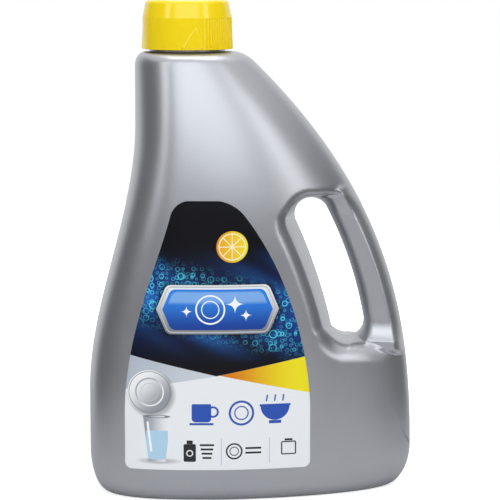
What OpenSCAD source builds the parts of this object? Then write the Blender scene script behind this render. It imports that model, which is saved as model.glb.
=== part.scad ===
// A container for dishwasher powder: a hollow bottle with a through handle,
// a screw cap with its liner, and a front and a back label.
// X runs towards the handle, Y towards the back and Z up, in millimetres.
// The origin is the middle of the base.

/* [Body] */
// Width of the body, from the left side to the handle side
body_w = 182; // [172:1:195]
// Height of the flat shoulder that the neck stands on
shoulder_z = 246.5; // [238:0.5:256]
// Depth of the lower body, front to back
depth_low = 90; // [82:1:98]
// Depth of the body just under the shoulder
depth_top = 58; // [56:0.5:64]
// Height at which the front and back start to lean in
lean_z = 135; // [115:1:155]
// Thickness of the blown wall
wall = 1.2; // [0.9:0.1:1.6]
// Rise of the middle of the base above the standing face
push_up = 3; // [2:0.5:5]
// Width of the flat standing face round the base
foot_w = 6; // [4:0.5:9]

/* [Sides] */
// Distance from the neck's axis to the left side at the shoulder
shoulder_reach = 29.2; // [28.4:0.1:31]
// Height at which the left side starts to draw in
waist_low_z = 57; // [45:1:70]
// Height at which the left side is upright again
waist_high_z = 206; // [195:1:220]
// Height at which the handle side starts to draw in
slope_low_z = 15.5; // [10:0.5:25]
// How far the handle side has drawn in at the shoulder
slope_run = 94.6; // [90:0.1:98]
// How late the handle side bends: a higher number bends later
slope_power = 2.6; // [2.3:0.01:2.8]
// Distance of the deepest line of the lower body from its middle, to the left
crest_left = 20; // [12:1:28]

/* [Edges] */
// Radius of the edge between the base and the walls
base_fillet = 8; // [6:0.5:11]
// Height of the base corners, seen from the front
corner_h = 24; // [18:1:30]
// Width of the left base corner
corner_left_w = 10; // [6:0.5:13]
// Width of the base corner on the handle side
corner_right_w = 14.5; // [11:0.5:18]
// Width of the rounding of the shoulder
shoulder_round_w = 5.5; // [4:0.1:6]
// Height of the rounding of the shoulder on the left
shoulder_round_left_h = 7.5; // [6:0.5:9]
// Height of the rounding of the shoulder in front and on the handle side
shoulder_round_h = 5; // [4:0.5:7]

/* [Handle] */
// Half the width of the finger hole at its ends
hole_r = 9.4; // [8.8:0.1:10]
// How much further the hole reaches to each side in its middle
hole_swell = 0.4; // [0:0.1:0.8]
// Height of the hole's upper centre
hole_high_z = 155.6; // [150:0.1:160]
// Height of the hole's lower centre
hole_low_z = 95.4; // [92:0.1:102]
// How far the hole bows towards the outside
hole_bow = 2; // [1.4:0.1:3.6]
// Width of the handle at its upper end
grip_top_w = 18.5; // [16.6:0.1:20]
// Width of the handle at its lower end
grip_low_w = 20.4; // [18:0.1:22]
// Depth of the handle, front to back
grip_depth = 24; // [20:0.5:28]
// Width of the rounding of the handle towards the hole
grip_round_w = 6; // [4:0.5:8]
// Width of the sloping flank of the handle on its outer side
grip_flank_w = 7; // [5:0.5:9]
// How far the handle swells forward where it meets the body
grip_swell = 4; // [2:0.5:6]
// Length of that swell
grip_swell_l = 12; // [8:1:16]
// Rise of the wall beside the hole, for each unit of width
side_steep = 5.6; // [4:0.1:9]
// Rise of the wall above the hole, for each unit of width
brow_steep = 8; // [5:0.5:12]
// Rise of the wall below the hole, for each unit of width
foot_steep = 18; // [8:0.5:24]
// Rise of the ledge under the handle, for each unit of width
ledge_steep = 6; // [4:0.5:10]
// Radius of the edge of the wall beside the hole
side_round = 7; // [5:0.5:9]
// Radius of the edge of the wall above the hole
brow_round = 6; // [4:0.5:8]
// Radius of the edge of the wall below the hole and of the ledge
foot_round = 10; // [7:0.5:12]
// Rise of the upper end of the handle towards the outside, for each unit along
brow_rise = 0.12; // [0:0.01:0.3]
// Fall of the ledge towards the outside, for each unit along
ledge_fall = 0.05; // [0:0.01:0.2]

/* [Neck] */
// Distance of the neck's axis from the middle of the body, to the left
neck_left = 35.3; // [32:0.1:38]
// Radius of the mouth
mouth_r = 19.2; // [18:0.1:19.6]
// Radius of the neck between its threads
neck_r = 20.9; // [20.5:0.1:21.4]
// Height of the neck above the shoulder
neck_h = 26; // [24:0.5:30]
// Pitch of the thread
pitch = 5; // [4.6:0.1:6]
// Height of the thread's ridge
ridge_h = 1.2; // [1:0.1:1.4]
// Width of the ridge at its root
ridge_w = 1.9; // [1.6:0.1:2.1]
// Turns of thread on the neck
neck_turns = 1.5; // [1:0.25:2]
// Height of the neck's thread above the shoulder
thread_up = 10; // [9:0.5:12]

/* [Cap] */
// Radius of the cap at its lower edge
cap_r = 25.5; // [25.3:0.1:27]
// Radius of the cap at its top edge
cap_top_r = 23.2; // [23:0.1:24]
// Radius of the cap where its skirt starts
cap_break_r = 24.9; // [24.8:0.1:25.2]
// Height of the sloping band above the skirt
cap_band_h = 9.5; // [8:0.5:12]
// Thickness of the cap's top
cap_top_t = 1.6; // [1.2:0.1:2.2]
// Thickness of the cap's liner
liner_t = 1; // [0.6:0.1:1.4]
// Gap between the cap's lower edge and the shoulder
cap_gap = 1.6; // [1:0.1:2.5]
// Running gap between the cap and the neck
clearance = 0.3; // [0.25:0.05:0.4]
// Number of ribs round the whole cap, the two smooth pads counted in
rib_count = 90; // [60:2:110]
// Height of a rib
rib_h = 0.35; // [0.2:0.05:0.5]
// Angle that each smooth pad takes
pad_angle = 116; // [90:2:130]
// Direction of the middle of the first pad
pad_turn = 237; // [200:1:260]
// Width of the raised arrow on each pad
arrow_w = 12; // [9:0.5:14]
// Height of the raised arrow
arrow_h = 12.5; // [8:0.5:14]
// Angle of the arrow from the pad's middle
arrow_turn = 42; // [0:1:44]
// Turns of thread in the cap
cap_turns = 1; // [0.75:0.25:1.25]

/* [Labels] */
// Height of the label's lower edge
label_low_z = 18.5; // [14:0.5:24]
// Height of the label's upper edge
label_high_z = 167.5; // [155:0.5:172]
// Half the width of the label near its foot
label_half_w = 51.2; // [46:0.1:53]
// Half the width of the label at its top
label_top_half_w = 15.8; // [13:0.1:20]
// Distance of the label's middle from the middle of the body at its foot, to the left
label_left = 18.2; // [17:0.1:22]
// Thickness of the label's film
film_t = 0.25; // [0.15:0.05:0.4]
// Gap of adhesive between film and body
glue_t = 0.1; // [0.06:0.02:0.14]
// Height at which the label starts to narrow
label_wide_z = 50; // [40:1:60]
// How far the label's middle shifts to the left at its top
label_shift = 7.6; // [4:0.1:10]
// Radius of the label's lower corners
label_low_r = 3.5; // [2:0.5:6]
// Radius of the label's upper corners
label_high_r = 8; // [5:0.5:12]

/* [Hidden] */
$fn = 72;
grey = "#a9abb2";
yellow = "#fbe006";
half_w = body_w / 2;
neck_x = -neck_left;
left_top_x = neck_x - shoulder_reach;
thread_z = shoulder_z + thread_up;
lip_z = shoulder_z + neck_h;
cap_low_z = shoulder_z + cap_gap;
cap_high_z = lip_z + liner_t + cap_top_t;
cap_bore_r = neck_r + ridge_h + clearance;
cap_band_z = cap_high_z - cap_band_h;
thread_play = 0.25;
neck_bite = 0.45;
lip_edge = 0.5;
thread_bite = 0.4;

// A value kept between 0 and 1, a smooth step over 0 to 1, and a blend of two values
function part01(q) = min(1, max(0, q));
function smooth(q) = part01(q) * part01(q) * (3 - 2 * part01(q));
function mix(a, b, q) = a + (b - a) * q;

// How far a rounded corner has drawn in, a distance d past its start
function corner(d, h, w) = w * (1 - sqrt(1 - pow(part01(d / h), 2)));

// The two sides of the body, seen from the front
function left_x(z) = -half_w
    + (left_top_x + half_w) * smooth((z - waist_low_z) / (waist_high_z - waist_low_z))
    + corner(corner_h - z, corner_h, corner_left_w)
    + corner(z - shoulder_z + shoulder_round_left_h, shoulder_round_left_h, shoulder_round_w);
function right_x(z) = half_w
    - slope_run * pow(part01((z - slope_low_z) / (shoulder_z - slope_low_z)), slope_power)
    - corner(corner_h - z, corner_h, corner_right_w)
    - corner(z - shoulder_z + shoulder_round_h, shoulder_round_h, shoulder_round_w);
function right_lean(z) = norm([right_x(z + 1) - right_x(z - 1), 2]) / 2;

// Half the depth of the body on its crest, and the crest's own place
function lean(z) = part01((z - lean_z) / (shoulder_z - lean_z));
function crest_depth(z) = depth_low / 2
    - (depth_low - depth_top) / 2 * pow(lean(z), 2)
    - corner(base_fillet - z, base_fillet, base_fillet)
    - corner(z - shoulder_z + shoulder_round_h, shoulder_round_h, shoulder_round_w);
function crest_x(z) = mix(-crest_left, neck_x, smooth(lean(z)));

// The body's plan at one height: blunt on the left, drawn out to the handle side, round at the top.
// Each is the power of a rounded curve: the left end's, and the two of the handle side's.
low_nose = 3;
low_taper = 1.55;
low_tail = 0.56;
function nose(x, z) = let(
    n = mix(low_nose, 2, smooth(lean(z))),
    q = part01((crest_x(z) - x) / (crest_x(z) - left_x(z))))
    pow(1 - pow(q, n), 1 / n);
function tail(x, z) = let(
    n = mix(low_taper, 2, smooth(lean(z))),
    q = part01((x - crest_x(z)) / (right_x(z) - crest_x(z))))
    pow(1 - pow(q, n), mix(low_tail, 0.5, smooth(lean(z))));
function body_depth(x, z) = crest_depth(z) * (x < crest_x(z) ? nose(x, z) : tail(x, z));

// The finger hole: everything within hole_r of an arc that runs beside the slanted side
hole_a = [right_x(hole_high_z) - (grip_top_w + hole_r) * right_lean(hole_high_z), hole_high_z];
hole_b = [right_x(hole_low_z) - (grip_low_w + hole_r) * right_lean(hole_low_z), hole_low_z];
hole_len = norm(hole_a - hole_b);
arc_r = (pow(hole_len / 2, 2) + pow(hole_bow, 2)) / (2 * hole_bow);
arc_dir = (hole_a - hole_b) / hole_len;
arc_mid = (hole_a + hole_b) / 2 + [arc_dir.y, -arc_dir.x] * (hole_bow - arc_r);
arc_low = atan2(hole_b.y - arc_mid.y, hole_b.x - arc_mid.x);
arc_high = atan2(hole_a.y - arc_mid.y, hole_a.x - arc_mid.x);
function arc_at(angle) = arc_mid + arc_r * [cos(angle), sin(angle)];
function near_angle(p) = min(arc_high, max(arc_low, atan2(p.y - arc_mid.y, p.x - arc_mid.x)));
function arc_near(p) = arc_at(near_angle(p));
function hole_reach(angle) = hole_r + hole_swell * sin(180 * (angle - arc_low) / (arc_high - arc_low));
function from_hole(p) = max(0, norm(p - arc_near(p)) - hole_reach(near_angle(p)));

// Distance from the recess of the handle: the hole, and what lies outside it between
// the ledge below and the brow above
function ledge_z(x) = hole_b.y - hole_r - ledge_fall * (x - hole_b.x);
function brow_z(x) = hole_a.y + hole_r + brow_rise * (x - hole_a.x);
function beside_hole(x, z) = x - arc_mid.x - sqrt(max(1, pow(arc_r, 2) - pow(z - arc_mid.y, 2)));
function from_recess(x, z) = max(0, min(from_hole([x, z]),
    max(ledge_z(x) - z, -beside_hole(x, z), z - brow_z(x))));

// The wall round the recess: a straight draft from the parting plane, then a round edge
function under_hole(z) = smooth((hole_low_z - z) / hole_r);
function over_hole(z) = smooth((z - hole_high_z) / hole_r);
function wall_steep(x, z) = mix(
    mix(side_steep, brow_steep, over_hole(z)),
    mix(foot_steep, ledge_steep, smooth((x - hole_b.x) / (2 * hole_r))),
    under_hole(z));
function wall_round(z) = mix(mix(side_round, brow_round, over_hole(z)), foot_round, under_hole(z));
function recess_wall(x, z) = let(
    e = from_recess(x, z),
    full = max(0.001, body_depth(x, z)),
    draft = atan(wall_steep(x, z)),
    r = min(wall_round(z), full / (1.02 - cos(draft))),
    end = full / tan(draft) + r * tan(draft / 2))
    e >= end ? full :
    e <= end - r * sin(draft) ? e * tan(draft) :
    full - r + sqrt(max(0, pow(r, 2) - pow(end - e, 2)));

// Half the depth of the handle: round towards the hole, with a flat front and a sloping flank
flank_power = 1.5;
function bulge(q, n) = pow(max(0, 1 - pow(1 - part01(q), n)), 1 / n);
function from_side(x, z) = max(0, (right_x(z) - x) / right_lean(z));
function swell(d) = grip_swell * pow(1 - part01(d / grip_swell_l), 2);
function grip(x, z) = (grip_depth / 2 + swell(z - ledge_z(x)) + swell(brow_z(x) - z))
    * bulge(from_hole([x, z]) / grip_round_w, 2)
    * bulge(from_side(x, z) / grip_flank_w, flank_power)
    * smooth(beside_hole(x, z) / (2 * hole_r) + 0.5)
    * (1 - smooth(from_recess(x, z) / grip_swell_l - 0.3));

// Half the depth of the whole bottle at a point of the front view
blend_depth = 5;
function smooth_max(a, b, s) = s < 0.001 ? max(a, b) : max(a, b) + pow(max(0, s - abs(a - b)), 2) / (4 * s);
function depth(x, z) = let(
    wall_d = recess_wall(x, z),
    grip_d = grip(x, z),
    near = smooth(1 - from_recess(x, z) / grip_swell_l))
    smooth_max(wall_d, grip_d, min(blend_depth * near, 2 * min(wall_d, grip_d)));

// Heights and widths eased towards one end or both
function even(a, b, n) = [for (i = [0 : n - 1]) mix(a, b, i / n)];
function eased(a, b, n) = [for (i = [0 : n - 1]) mix(a, b, sin(90 * i / n))];
function eased_late(a, b, n) = [for (i = [0 : n - 1]) mix(a, b, 1 - cos(90 * i / n))];
function eased_both(a, b, n) = [for (i = [0 : n - 1]) mix(a, b, (1 - cos(180 * i / n)) / 2)];

// The outline of the front view, clockwise from the top of the handle.
// Each point also has its place round the hole: 0 to 1 down the handle's side,
// 1 to 2 round the foot, 2 to 3 up the body's side and 3 to 4 round the head.
grip_high_z = hole_a.y + 0.45 * (grip_top_w + hole_r);
grip_low_z = hole_b.y + 0.16 * (grip_low_w + hole_r);
below_ledge_z = ledge_z(half_w) - foot_round - 4;
waist_end_z = waist_high_z - 6;
grip_n = 16;
ledge_n = 12;
side_n = 4;
corner_n = 6;
flat_n = 14;
waist_n = 12;
round_n = 4;
slant_n = 10;
function side_points(heights, from, to, left = false) = [for (i = [0 : len(heights) - 1])
    [left ? left_x(heights[i]) : right_x(heights[i]), heights[i], mix(from, to, i / len(heights))]];
function flat_points(x0, x1, z, from, to) = let(xs = eased_both(x0, x1, flat_n))
    [for (i = [0 : flat_n - 1]) [xs[i], z, mix(from, to, i / flat_n)]];
outline = concat(
    side_points(even(grip_high_z, grip_low_z, grip_n), 0, 1),
    side_points(even(grip_low_z, below_ledge_z, ledge_n), 1, 1.25),
    side_points(even(below_ledge_z, corner_h, side_n), 1.25, 1.4),
    side_points(eased(corner_h, 0, corner_n), 1.4, 1.49),
    flat_points(right_x(0), left_x(0), 0, 1.49, 1.86),
    side_points(eased_late(0, corner_h, corner_n), 1.86, 1.95, left = true),
    side_points(even(corner_h, waist_end_z, waist_n), 1.95, 3, left = true),
    side_points(even(waist_end_z, shoulder_z - shoulder_round_left_h, side_n), 3, 3.15, left = true),
    side_points(eased(shoulder_z - shoulder_round_left_h, shoulder_z, round_n), 3.15, 3.2, left = true),
    flat_points(left_x(shoulder_z), right_x(shoulder_z), shoulder_z, 3.2, 3.51),
    side_points(eased_late(shoulder_z, shoulder_z - shoulder_round_h, round_n), 3.51, 3.58),
    side_points(even(shoulder_z - shoulder_round_h, grip_high_z, slant_n), 3.58, 4));
cols = len(outline);

// The matching point on the hole's edge
function hole_point(t) =
    t < 1 ? let(a = mix(arc_high, arc_low, t)) arc_at(a) + hole_reach(a) * turn(a) :
    t < 2 ? hole_b + hole_r * turn(mix(arc_low, arc_low - 180, t - 1)) :
    t < 3 ? let(a = mix(arc_low, arc_high, t - 2)) arc_at(a) - hole_reach(a) * turn(a) :
    hole_a + hole_r * turn(mix(arc_high + 180, arc_high, t - 3));
function turn(angle) = [cos(angle), sin(angle)];

// Rows of points from the hole's edge to the outline, closer together at both ends
rows = 18;
hole_rows = 8;
edge_rows = 6;
hole_reach_w = 16;
edge_reach = 26;
function row_reach(i, length) =
    let(near = min(hole_reach_w, 0.45 * length), far = min(edge_reach, 0.45 * length))
    i <= hole_rows ? near * (1 - cos(90 * i / hole_rows)) :
    i >= rows - edge_rows ? length - far * (1 - cos(90 * (rows - i) / edge_rows)) :
    mix(near, length - far, (i - hole_rows) / (rows - edge_rows - hole_rows));
function flat_point(i, j) = let(
    o = [outline[j].x, outline[j].y],
    h = hole_point(outline[j].z),
    length = norm(o - h))
    i == rows ? o : i == 0 ? h : mix(h, o, row_reach(i, length) / length);
function is_flat_end(j) = outline[j].y == 0 || outline[j].y == shoulder_z;
function front_point(i, j) = let(p = flat_point(i, j))
    [p.x, i == 0 || (i == rows && !is_flat_end(j)) ? 0 : -depth(p.x, p.y), p.y];
front_grid = [for (i = [0 : rows]) [for (j = [0 : cols - 1]) front_point(i, j)]];

// The direction out of the wall at a grid point
function wrap(j) = (j + cols) % cols;
function unit(v) = v / max(0.000001, norm(v));
function outward(i, j) =
    i == 0 ? let(p = flat_point(0, j), n = unit(arc_near(p) - p)) [n.x, 0, n.y] :
    i == rows ? (outline[j].y == 0 ? [0, 0, -1] : outline[j].y == shoulder_z ? [0, 0, 1] :
        let(d = unit(flat_point(rows, wrap(j + 1)) - flat_point(rows, wrap(j - 1)))) [-d.y, 0, d.x]) :
    unit(cross(front_grid[i][wrap(j + 1)] - front_grid[i][wrap(j - 1)],
        front_grid[i + 1][j] - front_grid[i - 1][j]));

// A skin from a grid of points of its front half: the back half mirrors it, and they
// share the points at y = 0. The list of points is the front grid and then the back grid.
function grid_points(grid) = concat(
    [for (line = grid) each line],
    [for (line = grid) each [for (p = line) [p.x, -p.y, p.z]]]);
function point_id(grid, first, back, i, j) = let(n = len(grid[0]), c = (j + n) % n)
    first + i * n + c + (back && abs(grid[i][c].y) > 0.001 ? len(grid) * n : 0);
function two_faces(a, b, c, d) = concat(
    a == b || b == c || a == c ? [] : [[a, c, b]],
    a == c || c == d || a == d ? [] : [[a, d, c]]);
function flipped(faces, flip) = flip ? [for (f = faces) [f[0], f[2], f[1]]] : faces;
function grid_faces(grid, first) = [
    for (back = [false, true], i = [0 : len(grid) - 2], j = [0 : len(grid[0]) - 1])
        each flipped(two_faces(
            point_id(grid, first, back, i, j), point_id(grid, first, back, i, j + 1),
            point_id(grid, first, back, i + 1, j + 1), point_id(grid, first, back, i + 1, j)), back)];

// The loop of points at the end of the flat columns j0 to j1: along the front and back again
function end_loop(grid, first, j0, j1) = concat(
    [for (j = [j0 : j1]) point_id(grid, first, false, len(grid) - 1, j)],
    [for (j = [j1 - 1 : -1 : j0 + 1]) point_id(grid, first, true, len(grid) - 1, j)]);
function loop_faces(a, b) = [for (i = [0 : len(a) - 1])
    each two_faces(a[i], a[(i + 1) % len(a)], b[(i + 1) % len(a)], b[i])];
function counted(first, n) = [for (i = [0 : n - 1]) first + i];

// The inner skin lies one wall inside every second point of the outer one
inner_grid = [for (i = [0 : 2 : rows]) [for (j = [0 : 2 : cols - 1])
    let(p = front_grid[i][j] - wall * outward(i, j)) [p.x, min(0, p.y), p.z]]];
base_first = grip_n + ledge_n + side_n + corner_n;
base_last = base_first + flat_n;
top_first = base_last + corner_n + waist_n + side_n + round_n;
top_last = top_first + flat_n;

// The base: a flat standing face, a short rise and a raised middle
base_mid = [crest_x(0), 0];
foot_share = 1 - foot_w / (depth_low / 2 - base_fillet);
rise_w = 4.5;
rise_share = foot_share - rise_w / (depth_low / 2 - base_fillet);
function base_ring(points, loop, share, z) = [for (id = loop)
    [mix(base_mid.x, points[id].x, share), points[id].y * share, z]];

// The mouth: a ring of points at the neck's root for each point of the shoulder's loop
function mouth_ring(points, loop, r, z) = [for (id = loop)
    let(d = unit([points[id].x - neck_x, points[id].y])) [neck_x + r * d.x, r * d.y, z]];

module bottle_shell() {
    outer = grid_points(front_grid);
    inner = grid_points(inner_grid);
    skins = concat(outer, inner);
    n = len(outer);
    foot_out = end_loop(front_grid, 0, base_first, base_last);
    foot_in = end_loop(inner_grid, n, base_first / 2, base_last / 2);
    top_out = end_loop(front_grid, 0, top_first, top_last);
    top_in = end_loop(inner_grid, n, top_first / 2, top_last / 2);
    extra = concat(
        base_ring(skins, foot_out, foot_share, 0),
        base_ring(skins, foot_out, rise_share, push_up),
        [[base_mid.x, 0, push_up]],
        base_ring(skins, foot_in, foot_share, wall),
        base_ring(skins, foot_in, rise_share, wall + push_up),
        [[base_mid.x, 0, wall + push_up]],
        mouth_ring(skins, top_out, neck_r - neck_bite, shoulder_z),
        mouth_ring(skins, top_in, neck_r - 2 * neck_bite, shoulder_z - wall));
    a = len(foot_out);
    b = len(foot_in);
    e0 = len(skins);
    e1 = e0 + a;
    e2 = e1 + a;
    e3 = e2 + 1;
    e4 = e3 + b;
    e5 = e4 + b;
    e6 = e5 + 1;
    e7 = e6 + len(top_out);
    mouth_out = counted(e6, len(top_out));
    mouth_in = counted(e7, len(top_in));
    faces = concat(
        grid_faces(front_grid, 0),
        loop_faces(foot_out, counted(e0, a)),
        loop_faces(counted(e0, a), counted(e1, a)),
        [for (i = [0 : a - 1]) [e1 + i, e2, e1 + (i + 1) % a]],
        loop_faces(top_out, mouth_out),
        [for (f = concat(
            grid_faces(inner_grid, n),
            loop_faces(foot_in, counted(e3, b)),
            loop_faces(counted(e3, b), counted(e4, b)),
            [for (i = [0 : b - 1]) [e4 + i, e5, e4 + (i + 1) % b]],
            loop_faces(top_in, mouth_in))) [f[0], f[2], f[1]]],
        [for (i = [0 : len(mouth_in) - 1])
            let(k = 2 * i, m = len(mouth_out), q = (i + 1) % len(mouth_in))
            each [
                [mouth_out[k], mouth_in[i], mouth_out[k + 1]],
                [mouth_out[k + 1], mouth_in[i], mouth_in[q]],
                [mouth_out[k + 1], mouth_in[q], mouth_out[(k + 2) % m]]]]);
    polyhedron(points = concat(skins, extra), faces = faces, convexity = 10);
}

// One helical ridge: it starts at height z on the X axis, and its ends fade out
ridge_steps = 36;
module ridge(z, root_r, crest_r, turns, start = 0) {
    n = round(ridge_steps * turns);
    function fade(k) = min(1, 0.15 + min(k, n - k) / 4);
    function ring(k) = let(
        a = start + 360 * turns * k / n,
        h = z + pitch * turns * k / n,
        r = mix(root_r, crest_r, fade(k)))
        [for (q = [[root_r, -ridge_w / 2], [r, -ridge_w / 4], [r, ridge_w / 4], [root_r, ridge_w / 2]])
            [q[0] * cos(a), q[0] * sin(a), h + q[1]]];
    points = [for (k = [0 : n]) each ring(k)];
    out = crest_r > root_r;
    sides = [for (k = [0 : n - 1], i = [0 : 3])
        each two_faces(4 * k + i, 4 * k + (i + 1) % 4, 4 * k + 4 + (i + 1) % 4, 4 * k + 4 + i)];
    ends = [[0, 1, 2], [0, 2, 3], [4 * n, 4 * n + 2, 4 * n + 1], [4 * n, 4 * n + 3, 4 * n + 2]];
    polyhedron(points = points, faces = flipped(concat(sides, ends), out));
}

module bottle() {
    color(grey) {
        bottle_shell();
        translate([neck_x, 0, 0]) {
            rotate_extrude()
                polygon([
                    [mouth_r, shoulder_z - wall / 2],
                    [neck_r, shoulder_z - wall / 2],
                    [neck_r, lip_z - lip_edge],
                    [neck_r - lip_edge, lip_z],
                    [mouth_r + lip_edge, lip_z],
                    [mouth_r, lip_z - lip_edge]]);
            ridge(thread_z, neck_r - thread_bite, neck_r + ridge_h, neck_turns);
        }
    }
}

// The cap: a sloping band over a skirt, with ribs and two smooth pads that stand out of it
skirt_r = cap_break_r - rib_h;
cap_edge = 1.2;
cap_edge_steps = 5;
cap_thread_start = 90;
module cap_profile() {
    polygon(concat(
        [[cap_bore_r, cap_low_z], [skirt_r, cap_low_z], [skirt_r, cap_band_z], [cap_break_r, cap_band_z]],
        [for (k = [0 : cap_edge_steps]) let(a = 90 * k / cap_edge_steps)
            [cap_top_r - cap_edge * (1 - cos(a)), cap_high_z - cap_edge * (1 - sin(a))]],
        [[0, cap_high_z], [0, cap_high_z - cap_top_t], [cap_bore_r, cap_high_z - cap_top_t]]));
}

// A block round part of the skirt: its inner side lies in the skirt and its top in the band
skirt_bite = 0.4;
module skirt_sector(middle, angle, out_low, out_high) {
    rotate([0, 0, middle - angle / 2])
        rotate_extrude(angle = angle)
            polygon([
                [skirt_r - skirt_bite, cap_low_z + skirt_bite],
                [out_low, cap_low_z + skirt_bite],
                [out_high - skirt_bite / 4, cap_band_z + skirt_bite],
                [skirt_r - skirt_bite, cap_band_z + skirt_bite]]);
}

module ribs(middle, angle) {
    step = 360 / rib_count;
    count = floor(angle / step) - 1;
    intersection() {
        skirt_sector(middle, angle, cap_r, cap_break_r);
        translate([0, 0, cap_low_z])
            linear_extrude(cap_band_z - cap_low_z + 1)
                polygon(concat(
                    [for (k = [0 : 2 * count])
                        (k % 2 == 0 ? skirt_r - skirt_bite / 4 : cap_r + 3 * rib_h)
                        * turn(middle + (k / 2 - count / 2) * step)],
                    [for (k = [count : -1 : 0])
                        (skirt_r - 2 * skirt_bite) * turn(middle + (k - count / 2) * step)]));
    }
}

module arrow(middle) {
    intersection() {
        skirt_sector(middle, 60, cap_r, cap_r);
        rotate([0, 0, middle])
            translate([cap_bore_r / 2, 0, cap_low_z])
                rotate([90, 0, 90])
                    linear_extrude(cap_r)
                        polygon([[-arrow_w / 2, 2 * skirt_bite], [arrow_w / 2, 2 * skirt_bite], [arrow_w / 8, arrow_h]]);
    }
}

module cap() {
    color(yellow)
        translate([neck_x, 0, 0]) {
            rotate_extrude() cap_profile();
            for (side = [0, 180]) {
                skirt_sector(pad_turn + side, pad_angle, cap_break_r, cap_break_r);
                ribs(pad_turn + side + 90, 180 - pad_angle);
                arrow(pad_turn + side + arrow_turn);
            }
            ridge(thread_z + pitch * cap_thread_start / 360 - ridge_w - thread_play,
                cap_bore_r + thread_bite, cap_bore_r - ridge_h, cap_turns, cap_thread_start);
        }
}

module cap_liner() {
    color("ivory")
        translate([neck_x, 0, lip_z])
            cylinder(h = liner_t, r = cap_bore_r - clearance);
}

// The label: its outline narrows upwards, and its film follows the body
label_power = 1.82;
label_lift = 5.2;
label_rows = 36;
label_cols = 20;
function label_rise(z) = part01((z - label_wide_z) / (label_high_z - label_wide_z));
function label_mid(z) = -label_left - label_shift * pow(label_rise(z), label_lift);
function label_half(z) = mix(label_half_w, label_top_half_w, pow(label_rise(z), label_power))
    - corner(label_low_z + label_low_r - z, label_low_r, label_low_r)
    - corner(z - label_high_z + label_high_r, label_high_r, label_high_r);
label_heights = concat(
    eased_late(label_low_z, label_low_z + label_low_r, 3),
    even(label_low_z + label_low_r, label_high_z - label_high_r, label_rows - 7),
    eased(label_high_z - label_high_r, label_high_z, 4),
    [label_high_z]);
function film_point(z, j, out) = let(x = label_mid(z) + label_half(z) * (2 * j / label_cols - 1))
    [x, -depth(x, z) - out, z];
module film() {
    n = len(label_heights);
    m = label_cols + 1;
    points = [for (out = [glue_t, glue_t + film_t], z = label_heights, j = [0 : label_cols])
        film_point(z, j, out)];
    function id(out, i, j) = (out ? n * m : 0) + i * m + j;
    sheets = [for (out = [false, true], i = [0 : n - 2], j = [0 : label_cols - 1])
        each flipped(two_faces(id(out, i, j), id(out, i + 1, j), id(out, i + 1, j + 1), id(out, i, j + 1)), out)];
    edge = concat(
        [for (i = [0 : n - 1]) [i, 0]],
        [for (j = [1 : label_cols]) [n - 1, j]],
        [for (i = [n - 2 : -1 : 0]) [i, label_cols]],
        [for (j = [label_cols - 1 : -1 : 1]) [0, j]]);
    rim = [for (k = [0 : len(edge) - 1]) let(a = edge[k], b = edge[(k + 1) % len(edge)])
        each two_faces(id(true, a[0], a[1]), id(true, b[0], b[1]), id(false, b[0], b[1]), id(false, a[0], a[1]))];
    polyhedron(points = points, faces = concat(sheets, rim), convexity = 4);
}

module front_label() color("midnightblue") film();
module back_label() color("whitesmoke") mirror([0, 1, 0]) film();

bottle();
cap();
cap_liner();
front_label();
back_label();
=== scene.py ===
"""A container for dishwasher powder: pearly grey bottle, yellow screw cap and two film labels.

Sizes are in millimetres and are turned into metres where a mesh is made. X runs towards the
handle, Y towards the back and Z up. The origin is the middle of the base.
"""

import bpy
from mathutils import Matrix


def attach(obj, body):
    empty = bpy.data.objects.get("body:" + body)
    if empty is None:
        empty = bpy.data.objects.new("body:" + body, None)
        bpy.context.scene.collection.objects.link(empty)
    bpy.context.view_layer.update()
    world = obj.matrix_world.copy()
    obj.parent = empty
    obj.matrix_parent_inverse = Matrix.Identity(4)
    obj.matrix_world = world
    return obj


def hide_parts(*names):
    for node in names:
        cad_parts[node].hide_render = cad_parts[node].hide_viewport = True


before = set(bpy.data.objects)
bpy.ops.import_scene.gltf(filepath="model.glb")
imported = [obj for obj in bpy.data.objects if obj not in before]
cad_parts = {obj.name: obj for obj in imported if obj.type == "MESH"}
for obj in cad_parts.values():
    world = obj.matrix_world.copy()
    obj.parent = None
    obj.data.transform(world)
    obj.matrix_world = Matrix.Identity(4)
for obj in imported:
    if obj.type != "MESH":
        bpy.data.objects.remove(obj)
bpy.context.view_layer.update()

import enum
import logging
import math
from dataclasses import dataclass, field

import bpy
import numpy as np

log = logging.getLogger("powder_container")

MM = 0.001
Array = np.ndarray
Colour = tuple[float, float, float]


# Small shared formulas on whole arrays


def part01(q: Array | float) -> Array:
    """The value kept between 0 and 1."""
    return np.clip(q, 0.0, 1.0)


def smooth(q: Array | float) -> Array:
    """An S-shaped step: 3 q squared less 2 q cubed, over 0 to 1."""
    q = part01(q)
    return q * q * (3 - 2 * q)


def mix(a: Array | float, b: Array | float, q: Array | float) -> Array:
    """The blend of two values: a at q = 0 and b at q = 1."""
    return a + (b - a) * q


def smooth_max(a: Array, b: Array, soft: Array | float) -> Array:
    """The larger of two values; where they differ by less than soft, a parabola joins them."""
    soft = np.maximum(soft, 0.001)
    return np.maximum(a, b) + np.maximum(0, soft - np.abs(a - b)) ** 2 / (4 * soft)


def rounded(d: Array | float, h: float, w: float) -> Array:
    """How far a rounded corner has drawn in, a distance d past its start.

    Args:
        d: distance along the wall past the start of the corner.
        h: length of the corner along the wall.
        w: how far it has drawn in at its end.

    Returns:
        w times 1 less the root of 1 less (d / h) squared.
    """
    return w * (1 - np.sqrt(1 - part01(d / h) ** 2))


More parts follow.
